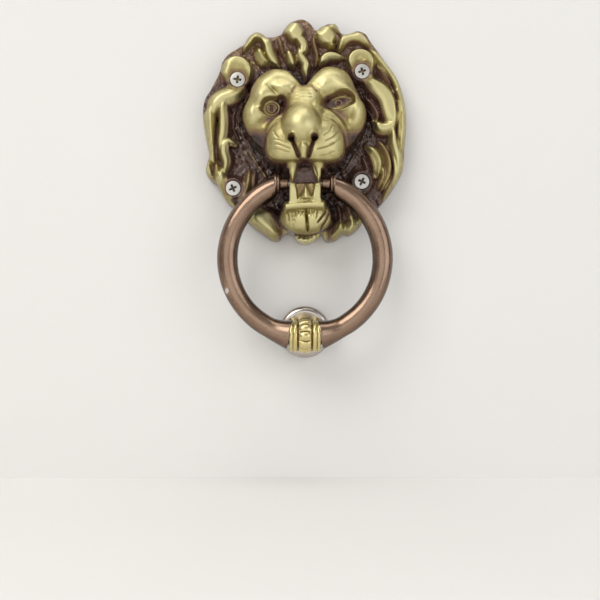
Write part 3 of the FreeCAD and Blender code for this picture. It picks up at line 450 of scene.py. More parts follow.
def muzzle(x, z, height):
    """Nose and whisker pads: two crowned pads with steep sides, a bridge that swells into the
    nose, the nostrils with their slits, the fold from nose to cheek, and fine hair lines. Pads
    and nose fall with a power of the reach, and faster past their edge. Lines are bells."""
    for side in (-1, 1):
        square = np.where(z < -8.8, 2.9, 2.1)
        reach = np.abs((x - side * 7.6) / 11.2) ** square + np.abs((z + 8.8) / 9.7) ** square
        reach = reach ** (1 / square)
        pad = 33.2 - 0.010 * (x + 0.3) ** 2 - 4.2 * reach ** 3.2
        pad -= 24.0 * np.clip(reach - 0.9, 0, None)
        pad -= 60.0 * np.clip(reach - 1.0, 0, None)
        height = soft_max(height, pad, 1.0)
    near = np.flatnonzero((np.abs(x) < 17) & (z < 26) & (z > -8))
    drop = z[near]
    half = smooth_table(drop, [-8, 2, 8, 14, 20, 26], [7.4, 7.6, 7.4, 7.8, 9.6, 11.0])
    top = smooth_table(drop, [-8, 2, 6, 9, 14, 17, 19, 22],
                       [30.4, 31.6, 31.4, 30.4, 27.8, 25.6, 21.0, 10.0])
    across = np.abs(x[near] + 0.1) / half
    bridge = top - 2.6 * across ** 2.4 - 8.0 * np.clip(across - 0.85, 0, None) ** 1.5
    height[near] = soft_max(height[near], bridge, 2.2)
    for side, middle_z in ((-1, -1.4), (1, -0.4)):
        reach = oval(x, z, (side * 9.0, middle_z), 9.5, 6.4, -side * 0.6)
        cheek = 29.6 - 5.0 * reach ** 2.4 - 10.0 * np.clip(reach - 1.0, 0, None)
        height = soft_max(height, cheek, 1.6)
    half_z = np.where(z > NOSE[1], 9.4, 7.6)
    reach = np.hypot((x - NOSE[0]) / NOSE_HALF, (z - NOSE[1]) / half_z)
    beside = np.clip(np.abs(x - NOSE[0]) / NOSE_HALF / np.maximum(reach, 0.1), 0, 1) ** 2
    steep = np.where(z > NOSE[1], 0.1 + 0.9 * beside, 1.0)
    ball = NOSE_HEIGHT - 5.0 * reach ** 2.1
    ball -= steep * (7.0 * np.clip(reach - 0.94, 0, None) + 18.0 * np.clip(reach - 1.1, 0, None))
    height = soft_max(height, ball, 1.7)
    strip = 34.6 - 0.45 * (x + 0.8) ** 2 - 0.5 * np.abs(z + 12.0)
    strip -= 2.0 * np.clip(z + 10.0, 0, None) ** 2 + 8.0 * np.clip(-16.8 - z, 0, None) ** 2
    height = soft_max(height, strip, 1.0)
    for run, half, rise in FOLDS:
        near, signed, share = along_curve(x, z, run, 4 * half)
        fade = np.sin(np.pi * np.clip(share, 0.1, 0.92)) ** 0.6
        height[near] += rise * np.exp(-(signed / half) ** 2) * fade
    for run, half, sink in (*NOSE_LINES, *FACE_LINES):
        near, signed, share = along_curve(x, z, run, 4 * half)
        ends = np.clip(np.sin(np.pi * np.clip(share, 0.02, 0.98)) * 2.2, 0, 1)
        height[near] -= sink * np.exp(-(signed / half) ** 2) * ends
    for middle in NOSTRILS:
        reach = np.hypot(x - middle[0], z - middle[1])
        height = height + 1.1 * np.exp(-((reach - 1.9) / 0.5) ** 2)
        height = height - 4.4 * np.exp(-(reach / 1.25) ** 2)
    return height


# Painted shade on the face, deepening the lacquer in its hollows: spots (how dark, middle, half
# sizes, turn) in the eyes, under the eyes, at the lower sides of the cheeks, in the notch and the
# nostrils, and lines (run, half width, how dark) along the folds, slits and cut lines. The last two
# lines are the rubbed edges of the right eye's lids.
DARK_SPOTS = [
    (0.95, (-13.8, 8.4), 5.2, 3.0, 0.22), (0.55, (-11.0, 10.8), 2.0, 2.2, 0.2),
    (0.9, (16.2, 11.2), 7.0, 3.0, 0.25), (0.55, (10.6, 11.2), 1.8, 2.4, -0.2),
    (0.45, (-16.6, 2.8), 4.4, 1.6, 0.3), (0.55, (17.0, 4.6), 4.6, 2.0, -0.4),
    (1.0, (-22.8, -6.2), 5.2, 4.0, -0.7), (0.9, (23.6, -6.6), 4.4, 5.0, 0.9),
    (0.6, (-0.8, 20.4), 1.8, 3.0, 0.0), (0.2, (-0.8, 16.6), 3.0, 2.4, 0.0),
    *((0.9, nostril, 1.5, 1.4, 0.0) for nostril in NOSTRILS),
]
DARK_LINES = [
    ([(12.0, 1.4), (15.8, -1.2), (17.9, -4.6), (18.4, -9.0)], 0.6, 0.35),
    ([(-13.0, -0.2), (-16.0, -2.8), (-17.8, -6.0), (-18.5, -9.6)], 0.6, 0.3),
    ([(-6.0, -8.6), (-4.4, -12.2), (-2.4, -17.0)], 0.75, 0.75),
    ([(4.0, -8.2), (2.6, -12.2), (1.3, -17.0)], 0.75, 0.75),
    *((run, 1.3 * half, 0.9 * sink) for run, half, sink in FACE_LINES),
    ([(10.4, 9.6), (13.0, 12.0), (17.4, 13.4), (22.4, 12.8)], 0.45, -0.55),
    ([(10.4, 9.0), (13.6, 7.8), (18.6, 9.0), (22.4, 12.2)], 0.45, -0.55),
]


def face_shade(x, z, height):
    """Brightness of the face: it rises with the height, painting shade on the low side walls, less a
    bell of painted shade for each dark spot and line, while the rings of the eyes are rubbed."""
    shade = step(height, 14.5, 20.5)
    for sink, middle, half_x, half_z, turn in DARK_SPOTS:
        shade = shade - sink * bell(x, z, middle, half_x, half_z, turn)
    reach = np.hypot(x - LEFT_BALL[0], (z - LEFT_BALL[1]) * BALL_FLATTENING)
    shade = np.maximum(shade, 0.34 * step(-reach, -4.0, -3.4))
    rings = 1.1 * np.exp(-((reach - 3.6) / 0.45) ** 2) + 0.9 * np.exp(-((reach - 2.2) / 0.34) ** 2)
    shade = np.maximum(shade, rings)
    reach = np.hypot(x - IRIS[0], z - IRIS[1])
    shade = np.maximum(shade, 0.7 * np.exp(-((reach - 1.5) / 0.35) ** 2))
    for run, half, sink in DARK_LINES:
        near, signed, _ = along_curve(x, z, run, 3 * half)
        shade[near] -= sink * np.exp(-(signed / half) ** 2)
    return np.clip(shade, 0.04, 1)


# Jaw: the fangs (where each starts, where its tip is, half width), the lower side teeth, the
# lines in the mouth (run, depth), the chin's hairs (place, half width, depth, how far down they
# reach; the first is the parting), its slanting grooves, and the fringe under it.
PILLAR_HALF = 7.35
FANGS = [(-6.1, -5.6, 2.1), (5.8, 6.2, 2.5)]
LOWER_TEETH = [(-7.3, -4.9), (4.9, 7.3)]
MOUTH_LINES = [
    ([(3.4, -18.6), (4.6, -21.0), (5.6, -24.0)], 0.8),
    ([(-6.6, -27.6), (-5.6, -28.6), (-4.6, -28.2)], -0.7),
    ([(3.0, -27.6), (4.4, -28.8), (6.6, -28.0)], -0.7),
    ([(-3.6, -28.2), (-4.0, -31.0), (-2.8, -34.8)], -0.6),
    ([(2.6, -28.6), (3.8, -31.4), (3.6, -34.8)], -0.6),
]
CHIN_PARTING = 0.2
CHIN_HAIRS = [
    (CHIN_PARTING, 0.55, 2.6, 51), (-8.6, 0.3, 0.8, 47), (-6.6, 0.3, 0.9, 48.5),
    (-4.6, 0.3, 1.2, 44.5), (-3.4, 0.3, 1.1, 43.6), (-2.2, 0.3, 0.9, 44.2),
    (-1.0, 0.3, 1.0, 43.4), (2.0, 0.3, 1.1, 43.4), (3.2, 0.3, 1.0, 44.4),
    (4.4, 0.3, 1.0, 43.6), (5.8, 0.3, 1.0, 45.5), (-5.6, 0.25, 0.7, 47.5),
]
CHIN_GROOVES = [
    [(9.6, -40.4), (8.2, -42.6), (6.0, -45.4)],
    [(11.2, -41.4), (9.8, -44.6), (7.8, -47.4), (7.0, -50.0)],
]
FRINGE = [(-10.9, -44.6), (-9.8, -47.2), (-7.7, -49.9), (-4.7, -52.3), (-1.5, -53.4), (1.7, -53.4),
          (4.6, -51.7), (7.4, -49.2)]


def jaw(x, z, height, bright):
    """Pillar under the muzzle with two long teeth and the mouth between them, the front tooth,
    the lower lip, and the round chin with its combed beard. Each form falls with a power of the
    distance from its middle and steeply past its edge, and each groove is a bell."""
    side = PILLAR_HALF - np.abs(x)
    pillar = 24.8 - 0.6 * (np.abs(x) / PILLAR_HALF) ** 4
    pillar = pillar - 1.2 * np.exp(-np.clip(side, 0, None) / 0.35)
    pillar = np.where(side > 0, pillar, 23.2 + 22.0 * side)
    mouth = step(5.6 - np.abs(x), 0.0, 0.8) * step(-z, 17.6, 18.6) * step(z, -27.8, -26.9)
    pillar = pillar - 2.4 * mouth + 1.4 * bell(x, z, (-0.2, -20.4), 2.6, 1.4) * mouth
    shade = 0.62 - 0.36 * mouth
    for top, tip, half in FANGS:
        down = (-17.0 - z) / 10.0
        middle = top + (tip - top) * down
        wide = np.clip(half * (1 - np.clip(down, 0, 1) ** 1.6), 0.05, None)
        across = np.abs(x - middle) / (wide + 0.12)
        fang = 27.8 - 1.4 * down - 1.2 * across ** 1.5 - 8.0 * np.clip(across - 1.0, 0, None)
        fang = np.where((down > -0.2) & (down < 1.02), fang, NO_FORM)
        shade = np.maximum(shade, step(fang - pillar, 0.0, 0.6))
        pillar = soft_max(pillar, fang, 0.25)
    down = np.clip((-27.4 - z) / 9.0, 0, 1.1)
    for start, end in LOWER_TEETH:
        grow = 1.3 * down
        block = 27.3 - 3.0 * np.clip(start - x - (0 if start < 0 else grow), 0, None)
        block -= 3.4 * np.clip(x - end - (grow if start < 0 else 0), 0, None)
        block -= 4.0 * np.clip(np.abs(z + 32.4) - 4.6, 0, None) ** 2
        block = np.where((side > 0) & (z < -27.0) & (z > -38.4), block, NO_FORM)
        shade = np.maximum(shade, step(block - pillar, 0.4, 1.2))
        pillar = soft_max(pillar, block, 0.3)
    floor = 27.0 - 2.0 * np.clip(z + 35.2, 0, None)
    floor = np.where((side > 0) & (z > -38.0) & (z < -33.0), floor, NO_FORM)
    shade = np.maximum(shade, 0.9 * step(floor - pillar, 0.0, 0.6))
    pillar = soft_max(pillar, floor, 0.4)
    down = np.clip((-27.6 - z) / 7.0, 0, 1.1)
    half = 0.2 + 2.1 * down ** 0.9
    wedge = 26.8 + 2.6 * down - 1.9 * np.abs((x - 0.2 - 0.3 * down) / half) ** 1.3
    wedge = wedge - 3.0 * np.clip(-34.2 - z, 0, None) ** 2
    beside = np.abs(x - 0.3) < half * 1.4 + 0.3
    wedge = np.where((z < -27.4) & (z > -36.0) & beside, wedge, NO_FORM)
    shade = np.maximum(shade, step(wedge - pillar, 0.0, 0.5))
    pillar = soft_max(pillar, wedge, 0.3)
    for run, sink in MOUTH_LINES:
        near, signed, share = along_curve(x, z, run, 1.6)
        line = np.exp(-(signed / 0.4) ** 2)
        pillar[near] -= sink * line
        shade[near] += (0.4 if sink < 0 else -0.4) * line
    pillar = np.where((z < -15.0) & (z > -38.0), pillar, NO_FORM)
    win = step(pillar - height, -0.1, 0.3)
    height = soft_max(height, pillar, 0.3)
    bright = bright * (1 - win) + win * np.clip(shade, 0, 1)
    sag = z + 37.7 - 0.05 * x + 0.006 * x ** 2
    lip = 28.4 - 1.0 * (sag / 1.3) ** 2 - 2.2 * np.clip(np.abs(x + 0.2) - 8.4, 0, None) ** 2
    lip = np.where(np.abs(sag) < 3.4, lip, NO_FORM)
    win = step(lip - height, -0.2, 0.3)
    height = soft_max(height, lip, 0.4)
    bright = bright * (1 - win) + win
    reach = np.sqrt((np.abs(x - 0.3) / 11.6) ** 2.2 + (np.clip(-z - 42.6, 0, None) / 8.0) ** 2
                    + (np.clip(z + 42.6, 0, None) / 9.5) ** 2)
    chin = 26.2 - 5.0 * np.clip(reach, 0, 1) ** 2.6 - 40.0 * np.clip(reach - 0.98, 0, None)
    for place, half, sink, reach_down in CHIN_HAIRS:
        lean = place + (-z - 39.0) * (0.11 if place == CHIN_PARTING else -0.02 * place)
        line = np.exp(-((x - lean) / half) ** 2) * step(z, -reach_down, -reach_down + 2.5)
        chin = chin - sink * line
    win = step(chin - height, -0.2, 0.3)
    height = soft_max(height, chin, 0.3)
    bright = bright * (1 - win) + win * step(1.05 - reach, 0.0, 0.05)
    for run in CHIN_GROOVES:
        near, signed, share = along_curve(x, z, run, 2)
        height[near] -= 1.4 * np.exp(-(signed / 0.4) ** 2)
        bright[near] *= 1 - 0.8 * np.exp(-(signed / 0.4) ** 2)
    near, signed, share = along_curve(x, z, FRINGE, 9)
    comb = np.cos(share * 60 + signed * 1.2)
    fringe = 17.4 - 2.4 * (signed / (1.2 + 1.7 * step(share, 0.0, 0.5))) ** 2 + 0.35 * comb
    win = step(fringe - height[near], -0.2, 0.3)
    height[near] = soft_max(height[near], fringe, 0.4)
    combed = 1.7 - 0.5 * (comb < -0.6)
    bright[near] = bright[near] * (1 - win) + win * combed
    return height, bright


def relief(x, z, inside):
    """Height of the whole front and its brightness, for places that lie inside mm in from the
    outline: rubbed bright on the high places, with painted shade on the face and a painted highlight
    along each seam. The rim rises from the edge as a quarter circle, and each form replaces what is
    under it where it is the higher."""
    height, bright = mane(x, z)
    height, bright = ears(x, z, height, bright)
    climb = np.sqrt(np.clip(1 - (1 - np.clip(inside, 0, RIM_ROUND) / RIM_ROUND) ** 2, 0, 1))
    height = -soft_max(-height, -(RIM_HEIGHT + RIM_RISE * climb), 0.6)
    # Each seam is raised, with a painted highlight along it as a thin bright line.
    for run in SEAMS:
        near, signed, _ = along_curve(x, z, run, 3)
        height[near] += 0.9 * np.exp(-(signed / 0.3) ** 2)
        bright[near] = np.maximum(bright[near], 1.3 * np.exp(-(signed / 0.28) ** 2))
    face = muzzle(x, z, eye_sockets(x, z, forehead(x, z)))
    win = step(face - height, -0.3, 0.6)
    height = soft_max(height, face, 0.6)
    bright = bright * (1 - win) + win * face_shade(x, z, face)
    return jaw(x, z, height, bright)


# Where the ring hangs and the screws go, which the mask's front leaves room for. The pivot pin
# gives the swing's axis.
PIN_LOW, PIN_HIGH = (np.array(corner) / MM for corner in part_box("pivot_pin"))
PIVOT_HEIGHT = -(PIN_LOW[1] + PIN_HIGH[1]) / 2
PIVOT_Z = (PIN_LOW[2] + PIN_HIGH[2]) / 2
RING_RADIUS = 36.5
TUBE = 4.8
GAP_ANGLE = 21.5
CENTRE_DROP = RING_RADIUS * math.cos(math.radians(GAP_ANGLE)) + 1.4
TURNING_GAP = 0.6
COLLAR_RADIUS = 5.0
COLLAR_START = 7.5
COLLAR_END = 16
HEAD_RADIUS = 3.5
# Each screw: across, up, height of its seat, how far its cross is turned in degrees.
SCREWS = [
    (-32.1, 23.6, 14.2, -8), (27.3, 27.5, 14.2, 15),
    (-34.4, -28.0, 12.4, 25), (27.3, -24.8, 12.4, -25),
]

# Places round the outline and rows over the front, and the hollows of the back.
AROUND = 600
FRONT_ROWS = 138
BOWL_RADIUS = 20.5
NOSE_BOWL_RADIUS = 9.0
BACK_PATINA = 0.3
WELD_DISTANCE = 1e-7


def even_outline(count):
    """Places evenly spaced along the smooth outline, clockwise from the top."""
    curve = smooth_curve(np.array(OUTLINE) * (HALF_WIDTH, HALF_HEIGHT), 12, closed=True)
    curve = np.concatenate([curve, curve[:1]])
    length = np.concatenate([[0.0], np.cumsum(np.hypot(*np.diff(curve, axis=0).T))])
    want = np.linspace(0, length[-1], count, endpoint=False)
    return np.stack([np.interp(want, length, curve[:, i]) for i in (0, 1)], axis=1)


EDGE = even_outline(AROUND)


def distance_in(x, z):
    """Distance in from the outline, as the least distance to any of its evenly spaced places."""
    nearest = np.full(x.shape, FAR)
    for edge_x, edge_z in EDGE:
        nearest = np.minimum(nearest, (x - edge_x) ** 2 + (z - edge_z) ** 2)
    return np.sqrt(nearest)


def under_ring(x, z, height):
    """Relief kept under the ring where it hangs: round a tube of radius r about the hung line the
    height stays below the pivot's by the chord sqrt(r^2 - d^2) at distance d from the line."""
    away = np.abs(np.hypot(x, z - PIVOT_Z + CENTRE_DROP) - RING_RADIUS)
    below = (z < PIVOT_Z + 3) & (np.abs(x) > 12)
    chord = np.sqrt(np.clip((TUBE + TURNING_GAP) ** 2 - away ** 2, 0, None))
    height = np.where(below & (chord > 0), np.minimum(height, PIVOT_HEIGHT - chord), height)
    away = np.abs(z - PIVOT_Z)
    beside = (np.abs(x) > COLLAR_START) & (np.abs(x) < COLLAR_END)
    chord = np.sqrt(np.clip((COLLAR_RADIUS + TURNING_GAP) ** 2 - away ** 2, 0, None))
    return np.where(beside & (chord > 0), np.minimum(height, PIVOT_HEIGHT - chord), height)


def screw_seats(x, z, height, bright):
    """A level pad round each screw, blended out by an S-shaped step, with a shallow pit for its
    head."""
    for middle_x, middle_z, seat, _ in SCREWS:
        reach = np.hypot(x - middle_x, z - middle_z)
        pad = 1 - step(reach, 4.4, 7.4)
        height = height * (1 - pad) + (seat + 0.1) * pad
        height = height - 1.0 * (1 - step(reach, HEAD_RADIUS, HEAD_RADIUS + 0.45))
        bright = bright * (1 - 0.5 * pad)
    return height, bright


def front(x, z):
    """Height and brightness of the finished front: the relief, the screws' seats, then the room
    under the ring."""
    height, bright = relief(x, z, distance_in(x, z))
    height, bright = screw_seats(x, z, height, bright)
    return under_ring(x, z, height), bright


def wear_and_shade(x, z, height, bright):
    """Patina with painted shade, from nought to one: the form's own brightness, times an S-shaped
    share for how deep the place lies under the highest ground within a brush's reach, times one for
    how steep it is. The strong pair leaves the lacquer deep down and on steep walls; the weak pair is
    painted shade, a soft olive darkening near creases and on slopes.
    Both are found on a square grid and read between its cells in proportion."""
    cell = 0.4
    brush = 7
    soften = 3
    grid_x = np.arange(-HALF_WIDTH - 3, HALF_WIDTH + 3, cell)
    grid_z = np.arange(-HALF_HEIGHT - 3, HALF_HEIGHT + 3, cell)
    wide, tall = np.meshgrid(grid_x, grid_z, indexing="ij")
    ground, _ = front(wide.ravel(), tall.ravel())
    ground = ground.reshape(wide.shape)
    top = ground.copy()
    for axis in (0, 1):
        stack = [np.roll(top, shift, axis=axis) for shift in range(-brush, brush + 1)]
        top = np.max(stack, axis=0)
    for _ in range(3):
        for axis in (0, 1):
            stack = [np.roll(top, shift, axis=axis) for shift in range(-soften, soften + 1)]
            top = np.mean(stack, axis=0)
    slope = np.hypot(*np.gradient(ground, cell))
    place_x = np.clip((x - grid_x[0]) / cell, 0, len(grid_x) - 1.001)
    place_z = np.clip((z - grid_z[0]) / cell, 0, len(grid_z) - 1.001)
    i = place_x.astype(int)
    j = place_z.astype(int)
    u = place_x - i
    v = place_z - j

    def sample(field):
        """The field between its cells, in proportion to the distance from each."""
        near = field[i, j] * (1 - u) + field[i + 1, j] * u
        far = field[i, j + 1] * (1 - u) + field[i + 1, j + 1] * u
        return near * (1 - v) + far * v

    depth = sample(top) - height
    steep = sample(slope)
    open_edge = 1 - step(distance_in(x, z), 0.4, 2.6)
    steep = steep * (1 - 0.8 * open_edge)
    bright = bright * (1 - 0.55 * step(depth, 3.0, 8.0)) * (1 - 0.6 * step(steep, 3.5, 8.0))
    # Painted shade: soft olive darkening in shallow hollows and on gentle slopes.
    bright = bright * (1 - 0.22 * step(depth, 0.3, 3.0)) * (1 - 0.22 * step(steep, 0.7, 2.4))
    return np.clip(bright, 0, 1)


def skin(rows, close=(True, True)):
    """Vertices and quads over rows of points, each row a closed loop. An end that is closed gets
    the middle of its row, repeated as a row, so that its fan is made of the same quads."""
    rows = np.asarray(rows, dtype=float)
    around = rows.shape[1]
    parts = [rows]
    if close[0]:
        parts.insert(0, np.repeat(rows[:1].mean(axis=1, keepdims=True), around, axis=1))
    if close[1]:
        parts.append(np.repeat(rows[-1:].mean(axis=1, keepdims=True), around, axis=1))
    grid = np.concatenate(parts)
    count = len(grid)
    index = np.arange(count * around).reshape(count, around)
    after = np.roll(index, -1, axis=1)
    quads = np.stack([index[:-1], after[:-1], after[1:], index[1:]], axis=-1).reshape(-1, 4)
    return grid.reshape(-1, 3), quads


def mask_shape():
    """Front rows of the relief from the middle out, each the outline shrunk by its share, then the
    side wall and the flat rim, and the back rows inward: a pocket, a bowl and a smaller bowl behind
    the nose, each the upper part of an ellipse. Also the front's patina, with its painted shade and
    painted light."""
    share = np.linspace(0.008, 1.0, FRONT_ROWS)
    x = share[:, None] * EDGE[None, :, 0]
    z = share[:, None] * EDGE[None, :, 1]
    height, bright = front(x.ravel(), z.ravel())
    patina_and_painted_light = wear_and_shade(x.ravel(), z.ravel(), height, bright)
    height = height.reshape(x.shape)
    height[-1] = np.minimum(height[-1], RIM_HEIGHT)
    rows = [np.stack([x, -height, z], axis=-1)]
    reach = np.hypot(EDGE[:, 0], EDGE[:, 1])
    for inset, wall in ((0.0, 2.0), (0.0, 0.25), (0.25, 0.0), (RIM_WIDTH - 0.2, 0.0),
                        (RIM_WIDTH, 0.3), (RIM_WIDTH + 0.1, 5.1), (RIM_WIDTH + 0.6, 5.5),
                        (14.0, 5.5), (24.0, 5.7)):
        inner = EDGE * np.clip(1 - inset / reach, 0.02, 1)[:, None]
        rows.append(np.stack([inner[:, 0], np.full(AROUND, -wall), inner[:, 1]], axis=-1)[None])
    angle = np.arctan2(EDGE[:, 0], EDGE[:, 1])
    for radius in (BOWL_RADIUS, 20.2, 18.0, 14.0, 9.5, 8.6, 5.0, 1.0):
        deep = 5.7 + 10.8 * math.sqrt(max(0.0, 1 - (radius / BOWL_RADIUS) ** 2))
        if radius < NOSE_BOWL_RADIUS:
            deep += 8.0 * math.sqrt(max(0.0, 1 - (radius / NOSE_BOWL_RADIUS) ** 2))
        drop = 2.5 if radius > NOSE_BOWL_RADIUS else -8.5 + 11.0 * radius / NOSE_BOWL_RADIUS
        rows.append(np.stack([radius * np.sin(angle), np.full(AROUND, -deep),
                              radius * np.cos(angle) + drop], axis=-1)[None])
    return skin(np.concatenate(rows)), patina_and_painted_light


def lathe(profile, start, axis, around, wave=None):
    """Rows turned from (radius, length) points about an axis through start: each point is start
    plus its length along the axis plus its radius times the turning ray. wave gives a factor on
    the radius for each length and angle."""
    axis = np.asarray(axis, dtype=float)
    side = np.cross(axis, (0.0, 0.0, 1.0))
    if np.hypot(*side[:2]) < 0.5:
        side = np.array([1.0, 0.0, 0.0])
    up = np.cross(side, axis)
    angle = np.linspace(0, 2 * math.pi, around, endpoint=False)
    ray = np.cos(angle)[:, None] * side + np.sin(angle)[:, None] * up
    profile = np.asarray(profile, dtype=float)
    radius = np.repeat(profile[:, :1], around, axis=1)
    if wave is not None:
        radius = radius * wave(profile[:, 1:2], angle[None, :])
    return np.asarray(start) + radius[..., None] * ray[None] + profile[:, 1][:, None, None] * axis


def boss(x, z):
    """Tube behind the mask that a screw passes through: its wall turned round the screw."""
    bore, wall, length = 2.1, 5.25, 7.0
    profile = [(bore, -0.1), (5.0, -0.1), (wall, -0.4), (wall, -length), (bore, -length),
               (bore, -0.1)]
    return skin(lathe(profile, (x, 0, z), (0, 1, 0), 40), close=(False, False))


def joined(*shapes):
    """Several skins as one, each turned outward. The space a skin closes is the sum of its quads'
    triple products; where that is negative, its quads run the other way."""
    vertices = []
    quads = []
    first = 0
    for points, faces in shapes:
        a, b, c, d = (points[faces[:, i]] for i in range(4))
        space = (a * np.cross(b, c)).sum() + (a * np.cross(c, d)).sum()
        vertices.append(points)
        quads.append((faces if space > 0 else faces[:, ::-1]) + first)
        first += len(points)
    return np.concatenate(vertices), np.concatenate(quads)


def weld(mesh):
    """Makes one point of the repeated middle points of closed ends."""
    work = bmesh.new()
    work.from_mesh(mesh)
    bmesh.ops.remove_doubles(work, verts=work.verts, dist=WELD_DISTANCE)
    work.to_mesh(mesh)
    work.free()


def piece(name, shape, body, nodes, material, sharp, patina_and_painted_light=None):
    """One visible piece from points in millimetres, riding on a body and standing for CAD nodes.
    Edges that turn by more than sharp degrees stay crisp."""
    points, quads = shape
    mesh = bpy.data.meshes.new(name)
    mesh.vertices.add(len(points))
    mesh.vertices.foreach_set("co", (points * MM).ravel())
    mesh.loops.add(quads.size)
    mesh.loops.foreach_set("vertex_index", quads.ravel().astype(np.int32))
    mesh.polygons.add(len(quads))
    mesh.polygons.foreach_set("loop_start", np.arange(0, quads.size, 4, dtype=np.int32))
    mesh.polygons.foreach_set("loop_total", np.full(len(quads), 4, dtype=np.int32))
    mesh.update(calc_edges=True)
    if patina_and_painted_light is not None:
        layer = mesh.attributes.new("patina_and_painted_light", "FLOAT", "POINT")
        layer.data.foreach_set("value", patina_and_painted_light.astype(np.float32))
    weld(mesh)
    mesh.polygons.foreach_set("use_smooth", np.ones(len(mesh.polygons), dtype=bool))
    mesh.set_sharp_from_angle(angle=math.radians(sharp))
    made = bpy.data.objects.new(name, mesh)
    bpy.context.scene.collection.objects.link(made)
    made.data.materials.append(material)
    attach(made, body)
    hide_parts(*nodes)


def noise_of(nodes, links, vector, scale, detail=3.0, rough=0.5):
    """Noise over the piece, with scale lumps to the metre."""
    noise = nodes.new("ShaderNodeTexNoise")
    noise.inputs["Scale"].default_value = scale
    noise.inputs["Detail"].default_value = detail
    noise.inputs["Roughness"].default_value = rough
    links.new(vector, noise.inputs["Vector"])
    return noise.outputs["Fac"]


def ramp_of(nodes, links, value, stops):
    """Colour ramp from (place, linear colour) stops."""
    ramp = nodes.new("ShaderNodeValToRGB")
    ramp.color_ramp.interpolation = "EASE"
    while len(ramp.color_ramp.elements) < len(stops):
        ramp.color_ramp.elements.new(0.5)
    for element, (place, colour) in zip(ramp.color_ramp.elements, stops):
        element.position = place
        element.color = (*colour, 1.0)
    links.new(value, ramp.inputs["Fac"])
    return ramp.outputs["Color"]


def map_of(nodes, links, value, low, high, new_low, new_high):
    """Value moved from one range to another, held at its ends."""
    node = nodes.new("ShaderNodeMapRange")
    ends = {"From Min": low, "From Max": high, "To Min": new_low, "To Max": new_high}
    for name, number in ends.items():
        node.inputs[name].default_value = number
    links.new(value, node.inputs["Value"])
    return node.outputs["Result"]


def sum_of(nodes, links, a, b, factor):
    """a + b * factor."""
    node = nodes.new("ShaderNodeMath")
    node.operation = "MULTIPLY_ADD"
    links.new(b, node.inputs[0])
    node.inputs[1].default_value = factor
    links.new(a, node.inputs[2])
    return node.outputs[0]


def start_material(name):
    """A new material with its shader, node list, links and the piece's own coordinates."""
    made = bpy.data.materials.new(name)
    made.use_nodes = True
    nodes = made.node_tree.nodes
    links = made.node_tree.links
    shader = nodes["Principled BSDF"]
    place = nodes.new("ShaderNodeTexCoord").outputs["Object"]
    return made, shader, nodes, links, place


def bump_on(nodes, links, shader, height, distance, strength):
    """Bump from a height value, on the shader."""
    bump = nodes.new("ShaderNodeBump")
    bump.inputs["Strength"].default_value = strength
    bump.inputs["Distance"].default_value = distance
    links.new(height, bump.inputs["Height"])
    links.new(bump.outputs["Normal"], shader.inputs["Normal"])


def antique_brass():
    """Brass under dark lacquer that is rubbed through on the high places. The patina attribute says
    how far: nought is thick glossy red-brown lacquer, one is bare satin brass. The same attribute
    carries painted shade, darker in the face's hollows, in creases and on slopes, and painted light,
    lighter between the locks towards the top and along the seams."""
    made, shader, nodes, links, place = start_material("antique_brass")
    patina_and_painted_light = nodes.new("ShaderNodeAttribute")
    patina_and_painted_light.attribute_name = "patina_and_painted_light"
    cloud = noise_of(nodes, links, place, 420, 4.0, 0.6)
    fine = noise_of(nodes, links, place, 2600, 2.0, 0.6)
    mix = sum_of(nodes, links, patina_and_painted_light.outputs["Fac"], cloud, 0.36)
    mix = sum_of(nodes, links, mix, fine, 0.14)
    mix = map_of(nodes, links, mix, 0.25, 1.25, 0.0, 1.0)
    colour = ramp_of(nodes, links, mix, [
        (0.0, (0.020, 0.009, 0.005)), (0.13, (0.070, 0.030, 0.020)), (0.30, (0.15, 0.078, 0.050)),
        (0.46, (0.23, 0.15, 0.062)), (0.66, (0.36, 0.30, 0.115)), (1.0, (0.60, 0.54, 0.27)),
    ])
    links.new(colour, shader.inputs["Base Color"])
    links.new(map_of(nodes, links, mix, 0.25, 0.7, 0.15, 1.0), shader.inputs["Metallic"])
    links.new(map_of(nodes, links, mix, 0.1, 0.7, 0.14, 0.46), shader.inputs["Roughness"])
    shader.inputs["Coat Weight"].default_value = 0.35
    shader.inputs["Coat Roughness"].default_value = 0.1
    lump = noise_of(nodes, links, place, 320, 2.0, 0.5)
    thick = map_of(nodes, links, mix, 0.1, 0.7, 1.0, 0.08)
    grain = nodes.new("ShaderNodeMath")
    grain.operation = "MULTIPLY"
    links.new(lump, grain.inputs[0])
    links.new(thick, grain.inputs[1])
    bump_on(nodes, links, shader, grain.outputs["Value"], 0.0011, 0.6)
    return made


mask_skin, front_patina_and_light = mask_shape()
bosses = [boss(x, z) for x, z, _, _ in SCREWS]
mask_all = joined(mask_skin, *bosses)
mask_patina_and_light = np.full(len(mask_all[0]), BACK_PATINA)
mask_patina_and_light[AROUND:AROUND + len(front_patina_and_light)] = front_patina_and_light
mask_patina_and_light[:AROUND] = 1.0
piece("lion_mask_casting", mask_all, "mask", ["lion_mask"], antique_brass(), 75,
      mask_patina_and_light)


# Fixing screws: nickel-plated wood screws with countersunk heads and a cross recess, each
# driven to its own angle, with a coarse thread that runs out to a point.
SCREW_PITCH = 1.6


